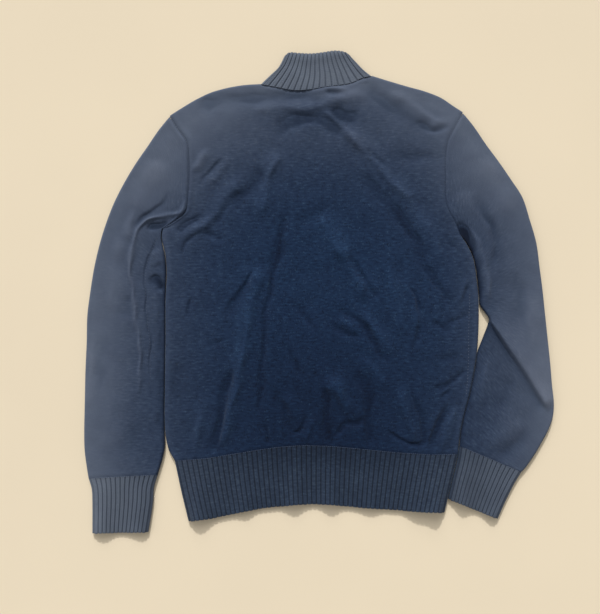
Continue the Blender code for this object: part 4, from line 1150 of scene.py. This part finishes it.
class Nodes:
    """New material with short calls for its node tree."""

    def __init__(self, name, roughness, specular=None):
        self.material = bpy.data.materials.new(name)
        self.material.use_nodes = True
        self.tree = self.material.node_tree
        self.shader = self.tree.nodes["Principled BSDF"]
        self.set(self.shader, Roughness=roughness)
        if specular is not None:
            self.shader.inputs["Specular IOR Level"].default_value = specular

    def add(self, kind, **values):
        node = self.tree.nodes.new(kind)
        for key, value in values.items():
            setattr(node, key, value)
        return node

    def put(self, value, socket):
        if isinstance(value, bpy.types.NodeSocket):
            self.tree.links.new(value, socket)
        else:
            socket.default_value = value

    def set(self, node, **values):
        for key, value in values.items():
            self.put(value, node.inputs[key.replace("_", " ")])
        return node

    def math(self, operation, a, b=0.0, c=0.0):
        node = self.add("ShaderNodeMath", operation=operation)
        for value, socket in zip((a, b, c), node.inputs):
            self.put(value, socket)
        return node.outputs[0]

    def mix(self, share, a, b, blend="MIX"):
        node = self.add("ShaderNodeMix", data_type="RGBA", blend_type=blend, clamp_factor=False)
        for value, socket in ((share, 0), (a, 6), (b, 7)):
            self.put(value, node.inputs[socket])
        return node.outputs[2]

    def times(self, colour, *others):
        for other in others:
            colour = self.mix(1.0, colour, other, "MULTIPLY")
        return colour

    def noise(self, vector, scale, detail=2.0, rough=0.5):
        node = self.add("ShaderNodeTexNoise")
        return self.set(node, Vector=vector, Scale=scale, Detail=detail, Roughness=rough).outputs["Fac"]

    def stored(self, name):
        return self.add("ShaderNodeAttribute", attribute_name=name).outputs["Fac"]

    def place(self):
        return self.add("ShaderNodeTexCoord").outputs["Object"]

    def ramp(self, value, *stops):
        node = self.add("ShaderNodeValToRGB")
        self.put(value, node.inputs[0])
        elements = node.color_ramp.elements
        while len(elements) < len(stops):
            elements.new(0.5)
        for element, (place, colour) in zip(elements, stops):
            element.position = place
            element.color = (*colour, 1.0) if len(colour) == 3 else colour
        return node.outputs[0]

    def vector(self, x, y, z=0.0):
        node = self.add("ShaderNodeCombineXYZ")
        for value, socket in zip((x, y, z), node.inputs):
            self.put(value, socket)
        return node.outputs[0]

    def with_painted_sheen(self, colour, pale, painted_sheen):
        """Colour with a painted sheen added: a pale veil painted over it."""
        veil = self.mix(self.math("MULTIPLY", pale, 0.7), (0.0, 0.0, 0.0, 1.0), (*painted_sheen, 1.0))
        return self.mix(1.0, colour, veil, "ADD")

    def finish(self, colour, height=None, strength=0.0, distance=0.0):
        """Colour of the surface, and its relief."""
        self.put(colour, self.shader.inputs["Base Color"])
        if height is not None:
            bump = self.set(self.add("ShaderNodeBump"), Strength=strength, Distance=distance, Height=height)
            self.put(bump.outputs[0], self.shader.inputs["Normal"])


def knit_material(name, colour, light, dark, painted_sheen, ribbed):
    """Heathered knit: slanted stitch legs in wales and courses and flecked fibres, with painted sheen,
    painted light and shade, and on ribbed cloth painted shade in the ribs' grooves.
    """
    n = Nodes(name, 0.78, 0.12)
    uv = n.add("ShaderNodeUVMap", uv_map="knit").outputs[0]
    wobble = n.set(n.add("ShaderNodeTexNoise"), Vector=uv, Scale=120.0).outputs["Color"]
    shift = n.add("ShaderNodeVectorMath", operation="SCALE")
    n.put(wobble, shift.inputs[0])
    n.set(shift, Scale=0.0007)
    moved = n.add("ShaderNodeVectorMath", operation="ADD")
    n.put(uv, moved.inputs[0])
    n.put(shift.outputs[0], moved.inputs[1])
    split = n.add("ShaderNodeSeparateXYZ")
    n.put(moved.outputs[0], split.inputs[0])
    across = n.math("DIVIDE", split.outputs[0], WALE)
    side = n.math("SUBTRACT", n.math("FRACT", across), 0.5)
    side = n.math("MULTIPLY", n.math("ABSOLUTE", side), 2.0)
    leg = n.math("ABSOLUTE", n.math("SUBTRACT", n.math("MULTIPLY", side, 2.0), 1.0))
    leg = n.math("SUBTRACT", 1.0, n.math("POWER", leg, 2.2))
    along = n.math("ADD", n.math("DIVIDE", split.outputs[1], COURSE), n.math("MULTIPLY", side, 0.6))
    bead = n.math("ABSOLUTE", n.math("SINE", n.math("MULTIPLY", along, math.pi)))
    stitch = n.math("MULTIPLY", leg, n.math("ADD", n.math("MULTIPLY", bead, 0.6), 0.4))
    cell = n.vector(n.math("FLOOR", n.math("MULTIPLY", across, 2.0)), n.math("FLOOR", along))
    fleck = n.set(n.add("ShaderNodeTexWhiteNoise", noise_dimensions="2D"), Vector=cell).outputs["Value"]
    strand = n.vector(n.math("MULTIPLY", across, 0.27), n.math("MULTIPLY", along, 0.72))
    streaks = n.noise(strand, 1.0, 1.2, 0.5)
    fibres = n.noise(uv, 1500.0, 3.0, 0.7)
    patches = n.noise(uv, 30.0, 4.0, 0.6)
    # strength of the painted sheen stored on the points
    pale = n.stored("painted_sheen")
    # flecks and streaks fade out under a strong painted sheen
    lively = n.math("SUBTRACT", 1.0, n.math("MULTIPLY", n.math("MINIMUM", pale, 1.0), 0.90))
    tone = n.ramp(fleck, (0.0, dark), (0.12, colour), (0.96, colour), (1.0, light))
    tone = n.with_painted_sheen(n.mix(lively, (*colour, 1.0), tone), pale, painted_sheen)
    haze = n.ramp(fibres, (0.30, (0.86, 0.87, 0.89)), (0.55, (1.0, 1.0, 1.0)), (0.78, (1.20, 1.18, 1.14)))
    lines = n.ramp(streaks, (0.30, (0.58, 0.63, 0.70)), (0.44, (0.94, 0.95, 0.96)),
                   (0.58, (1.09, 1.08, 1.06)), (0.70, (1.70, 1.60, 1.42)))
    lines = n.mix(lively, (1.0, 1.0, 1.0, 1.0), lines)
    mottle = n.ramp(patches, (0.34, (0.96, 0.96, 0.97)), (0.66, (1.04, 1.04, 1.03)))
    shade = n.ramp(stitch, (0.0, (0.66, 0.68, 0.73)), (0.6, (1.0, 1.0, 1.0)), (1.0, (1.10, 1.09, 1.07)))
    # painted light and shade stored on the points, bluer where it is darker
    depth = n.stored("depth")
    painted_shading = n.vector(n.math("POWER", depth, 1.2), depth, n.math("POWER", depth, 0.8))
    mixed = n.times(tone, haze, lines, mottle, shade, painted_shading)
    # painted shade in the ribs' grooves and a painted highlight on their crowns, softer under a strong
    # painted sheen
    if ribbed:
        painted_groove_shade = n.ramp(n.stored("rib"), (0.0, (0.30, 0.32, 0.37)), (0.60, (0.78, 0.79, 0.82)),
                        (0.95, (1.11, 1.11, 1.10)))
        painted_groove_shade = n.mix(n.math("MULTIPLY", pale, 0.26), painted_groove_shade, (0.86, 0.87, 0.88, 1.0))
        mixed = n.times(mixed, painted_groove_shade)
    n.finish(mixed, n.math("ADD", stitch, n.math("MULTIPLY", fibres, 0.35)), 0.5, 0.0006)
    n.set(n.shader, Sheen_Weight=0.16, Sheen_Roughness=0.45, Sheen_Tint=(0.62, 0.72, 0.90, 1.0))


def plain_material(name, colour, roughness):
    """Plain floor with faint clouds in its tone."""
    n = Nodes(name, roughness)
    cloud = n.noise(n.place(), 3.0, 3.0)
    n.finish(n.ramp(cloud, (0.3, tuple(c * 0.97 for c in colour)), (0.7, colour)))
    return n.material


def seam_material(name, colour, painted_sheen):
    """Twisted sewing yarn, with the same painted sheen as the cloth round it."""
    n = Nodes(name, 0.75, 0.2)
    fibres = n.noise(n.place(), 2400.0, 2.0, 0.6)
    twist = n.ramp(fibres, (0.3, (0.70, 0.72, 0.76)), (0.7, (1.20, 1.18, 1.15)))
    n.finish(n.times(n.with_painted_sheen((*colour, 1.0), n.stored("painted_sheen"), painted_sheen), twist), fibres, 0.4, 0.0002)


def button_material(name):
    """Dark horn with paler streaks."""
    n = Nodes(name, 0.28)
    streaks = n.noise(n.place(), 260.0, 4.0, 0.6)
    colour = n.ramp(streaks, (0.30, (0.006, 0.007, 0.010)), (0.60, (0.022, 0.024, 0.030)),
                    (0.85, (0.060, 0.055, 0.050)))
    n.finish(colour, streaks, 0.08, 0.0002)


# -------- settings

class SweaterCloth(bpy.types.PropertyGroup):
    """Colours of the yarn and of its painted sheen"""

    colour: bpy.props.FloatVectorProperty(
        name="Yarn", description="Colour of most of the yarn", subtype="COLOR", size=3,
        default=(0.0082, 0.0245, 0.0660), min=0, max=1)
    light: bpy.props.FloatVectorProperty(
        name="Light fleck", description="Colour of the lightest fibres", subtype="COLOR", size=3,
        default=(0.022, 0.048, 0.098), min=0, max=1)
    dark: bpy.props.FloatVectorProperty(
        name="Dark fleck", description="Colour of the darkest fibres", subtype="COLOR", size=3,
        default=(0.0035, 0.0120, 0.0340), min=0, max=1)
    # painted sheen: colour of the pale veil painted over the yarn
    painted_sheen: bpy.props.FloatVectorProperty(
        name="Raised nap", description="Pale veil of the raised nap over the yarn", subtype="COLOR", size=3,
        default=(0.093, 0.102, 0.115), min=0, max=1)


class SweaterStage(bpy.types.PropertyGroup):
    """Camera, floor and light"""

    view_width: bpy.props.FloatProperty(
        name="View width", description="Width of the table that the picture shows", default=0.960,
        subtype="DISTANCE", unit="LENGTH")
    camera_height: bpy.props.FloatProperty(
        name="Camera height", description="Height of the camera over the table", default=1.25,
        subtype="DISTANCE", unit="LENGTH")
    floor_colour: bpy.props.FloatVectorProperty(
        name="Floor", description="Colour of the plain floor", subtype="COLOR", size=3,
        default=(0.84, 0.73, 0.55), min=0, max=1)


def materials():
    """The materials of the slots, made once."""
    made = bpy.data.materials
    if "navy_knit_cloth" not in made:
        look = bpy.context.scene.sweater_cloth
        tones = [tuple(tone) for tone in (look.colour, look.light, look.dark, look.painted_sheen)]
        knit_material("navy_knit_cloth", *tones, False)
        greyer = tuple(c * share for c, share in zip(look.colour, (1.0, 0.88, 0.76)))
        knit_material("navy_rib_cloth", greyer, *tones[1:], True)
        seam_material("seam_yarn", tones[0], tones[3])
        button_material("dark_horn")
    return {"knit": made["navy_knit_cloth"], "rib": made["navy_rib_cloth"],
            "band": made["navy_rib_cloth"], "button": made["dark_horn"]}


def finish_cloth(thing, node, slot):
    """Gives a cloth piece its material, body and node."""
    thing.data.materials.append(materials()[slot])
    in_garment(thing, node)


# -------- operators

class SWEATER_OT_back(bpy.types.Operator):
    """Make the back panel with its folds, armhole seams and neck seam"""

    bl_idname = "sweater.back"
    bl_label = "Back panel"

    def execute(self, context):
        back = make_back_panel()
        pitch, step, sheen = ARMHOLE_STITCHES
        rows = [(armhole_points(side)[4:-1], (pitch, side * step, sheen)) for side in (-1, 1)]
        rows.append((np.array(BACK_NECK[1:-1]) * MM, NECK_STITCHES))
        rows.append((np.array(RIGHT_SIDE_MARKS) * MM, SIDE_STITCHES))
        sewn = sew("back_seam_stitches", back, rows)
        finish_cloth(back, "back_panel", "knit")
        return {"FINISHED"}


class SWEATER_OT_front(bpy.types.Operator):
    """Make the front panel, cut for the button bands"""

    bl_idname = "sweater.front"
    bl_label = "Front panel"

    def execute(self, context):
        finish_cloth(make_front_panel(), "front_panel", "knit")
        return {"FINISHED"}


class SWEATER_OT_sleeves(bpy.types.Operator):
    """Make the two sleeves in the poses in which they lie, and the left one's underarm seam"""

    bl_idname = "sweater.sleeves"
    bl_label = "Sleeves"

    def execute(self, context):
        left = make_sleeve("sleeve_left_knit", -1, LEFT_SLEEVE_ROWS, LEFT_SLEEVE_FOLDS)
        right = make_sleeve("sleeve_right_knit", 1, RIGHT_SLEEVE_ROWS, RIGHT_SLEEVE_FOLDS, RIGHT_SLEEVE_LIPS)
        line = np.array(LEFT_UNDERARM_SEAM) * MM
        seam = sew("underarm_seam_stitches", left, [(line, UNDERARM_STITCHES)])
        finish_cloth(left, "sleeve_left", "knit")
        finish_cloth(right, "sleeve_right", "knit")
        return {"FINISHED"}


class SWEATER_OT_ribs(bpy.types.Operator):
    """Make the ribbed hem, cuffs and collar, and the seams of hem and cuffs"""

    bl_idname = "sweater.ribs"
    bl_label = "Hem, cuffs and collar"

    def execute(self, context):
        hem = make_rib_tube("hem_rib_knit", HEM_ROWS, HEM_RIBS, HEM_LOWER_CELLS, HEM_WAVES, HEM_SHEEN,
                            (HEM_SEAM, HEM_EDGE))
        seam = sew("hem_seam_stitches", hem, [(np.array(HEM_SEAM) * MM, HEM_STITCHES)])
        finish_cloth(hem, "hem_rib", "rib")
        for node, rows, waves, side in (("cuff_left", LEFT_CUFF_ROWS, LEFT_CUFF_WAVES, 1),
                                        ("cuff_right", RIGHT_CUFF_ROWS, RIGHT_CUFF_WAVES, -1)):
            cuff = make_rib_tube(node + "_knit", rows, CUFF_RIBS, CUFF_LOWER_CELLS, waves, CUFF_SHEEN,
                                 tucked=side < 0)
            ends = np.array([rows[0][:2], rows[0][2:4]]) * MM
            line = mix(ends[0], ends[1], np.linspace(0.05, 0.95, 20)[:, None])
            pitch, step, sheen = CUFF_STITCHES
            seam = sew(node + "_stitches", cuff, [(line, (pitch, side * step, sheen))])
            finish_cloth(cuff, node, "rib")
        finish_cloth(make_collar(), "collar", "rib")
        return {"FINISHED"}


class SWEATER_OT_bands(bpy.types.Operator):
    """Make the two button bands, with the bound buttonholes"""

    bl_idname = "sweater.bands"
    bl_label = "Button bands"

    def execute(self, context):
        low = make_band("buttonhole_band_knit", BAND_BOTTOM, PLACKET_WIDTH)
        high = make_band("button_band_knit", BAND_BOTTOM + BAND_THICK + 0.0003, PLACKET_WIDTH - 0.002)
        centres = []
        away = []
        for y in BUTTON_Y:
            for turn in np.linspace(0, 2 * math.pi, BUTTONHOLE_STITCHES, endpoint=False):
                out = np.array((math.cos(turn), math.sin(turn), 0.0))
                centres.append((PLACKET_X + BUTTONHOLE_WIDE * out[0], y + BUTTONHOLE_LONG * out[1],
                                BAND_BOTTOM + 0.0001))
                away.append(unit(out * (1.0, 0.35, 0.0)))
        bound = bead_mesh("buttonhole_stitches", np.array(centres), np.array(away), *BUTTONHOLE_STITCH)
        in_garment(bound)
        finish_cloth(low, "buttonhole_band", "band")
        finish_cloth(high, "button_band", "band")
        return {"FINISHED"}


class SWEATER_OT_buttons(bpy.types.Operator):
    """Make the four buttons, each with a raised rim, four holes and its thread"""

    bl_idname = "sweater.buttons"
    bl_label = "Buttons"

    def execute(self, context):
        first = make_button()
        buttons = [first]
        for y in BUTTON_Y[1:]:
            deselect()
            first.select_set(True)
            context.view_layer.objects.active = first
            bpy.ops.object.duplicate()
            copy = context.active_object
            bpy.ops.transform.translate(value=(0.0, y - BUTTON_Y[0], 0.0))
            bpy.ops.object.transform_apply(location=True, rotation=True, scale=True)
            buttons.append(copy)
        for number, (button, y) in enumerate(zip(buttons, BUTTON_Y), 1):
            button.name = f"button_{number}_horn"
            button.data.materials.append(materials()["button"])
            in_garment(button, f"button_{number}")
            in_garment(button_thread(f"button_{number}_thread", y))
        return {"FINISHED"}


class SWEATER_OT_stage(bpy.types.Operator):
    """Make the plain floor, the soft light and the camera"""

    bl_idname = "sweater.stage"
    bl_label = "Stage"

    def execute(self, context):
        scene = context.scene
        look = scene.sweater_stage
        deselect()
        bpy.ops.mesh.primitive_plane_add(size=8.0, location=(0.0, 0.0, -0.0002))
        floor = context.active_object
        floor.name = "floor"
        floor.data.materials.append(plain_material("pale_floor", tuple(look.floor_colour), 0.85))
        for sun in SUNS:
            add_sun(*sun)
        world = bpy.data.worlds.new("soft_room")
        world.use_nodes = True
        background = world.node_tree.nodes["Background"]
        background.inputs[0].default_value = ROOM_COLOUR
        background.inputs[1].default_value = ROOM_STRENGTH
        scene.world = world
        camera = bpy.data.cameras.new("camera")
        camera.sensor_fit = "HORIZONTAL"
        camera.sensor_width = SENSOR
        camera.lens = SENSOR * (look.camera_height - CLOTH_TOP) / look.view_width
        camera.clip_end = 50.0
        eye = bpy.data.objects.new("camera", camera)
        eye.location = (*CAMERA_PLACE, look.camera_height)
        scene.collection.objects.link(eye)
        scene.camera = eye
        scene.view_settings.view_transform = "Standard"
        return {"FINISHED"}


def add_sun(name, towards, angle, strength):
    """Light of one direction; a wide angle in degrees makes it soft."""
    lamp = bpy.data.lights.new(name, "SUN")
    lamp.angle = math.radians(angle)
    lamp.energy = strength
    lamp.color = SUN_COLOUR
    thing = bpy.data.objects.new(name, lamp)
    thing.location = Vector(towards) * 3
    thing.rotation_euler = Vector(towards).to_track_quat("Z", "Y").to_euler()
    bpy.context.scene.collection.objects.link(thing)


class SWEATER_PT_panel(bpy.types.Panel):
    """Pieces of the sweater"""

    bl_label = "Sweater"
    bl_idname = "SWEATER_PT_panel"
    bl_space_type = "VIEW_3D"
    bl_region_type = "UI"
    bl_category = "Sweater"

    def draw(self, context):
        for group in (context.scene.sweater_cloth, context.scene.sweater_stage):
            for key in group.__annotations__:
                self.layout.prop(group, key)
        for operator in OPERATORS:
            self.layout.operator(operator.bl_idname)


OPERATORS = (SWEATER_OT_back, SWEATER_OT_front, SWEATER_OT_sleeves, SWEATER_OT_ribs, SWEATER_OT_bands,
             SWEATER_OT_buttons, SWEATER_OT_stage)
CLASSES = (SweaterCloth, SweaterStage, *OPERATORS, SWEATER_PT_panel)


def register():
    for cls in CLASSES:
        bpy.utils.register_class(cls)
    bpy.types.Scene.sweater_cloth = bpy.props.PointerProperty(type=SweaterCloth)
    bpy.types.Scene.sweater_stage = bpy.props.PointerProperty(type=SweaterStage)


def unregister():
    del bpy.types.Scene.sweater_cloth
    del bpy.types.Scene.sweater_stage
    for cls in reversed(CLASSES):
        bpy.utils.unregister_class(cls)


def main():
    register()
    for operator in OPERATORS:
        group, name = operator.bl_idname.split(".")
        getattr(getattr(bpy.ops, group), name)()


if __name__ == "__main__":
    main()
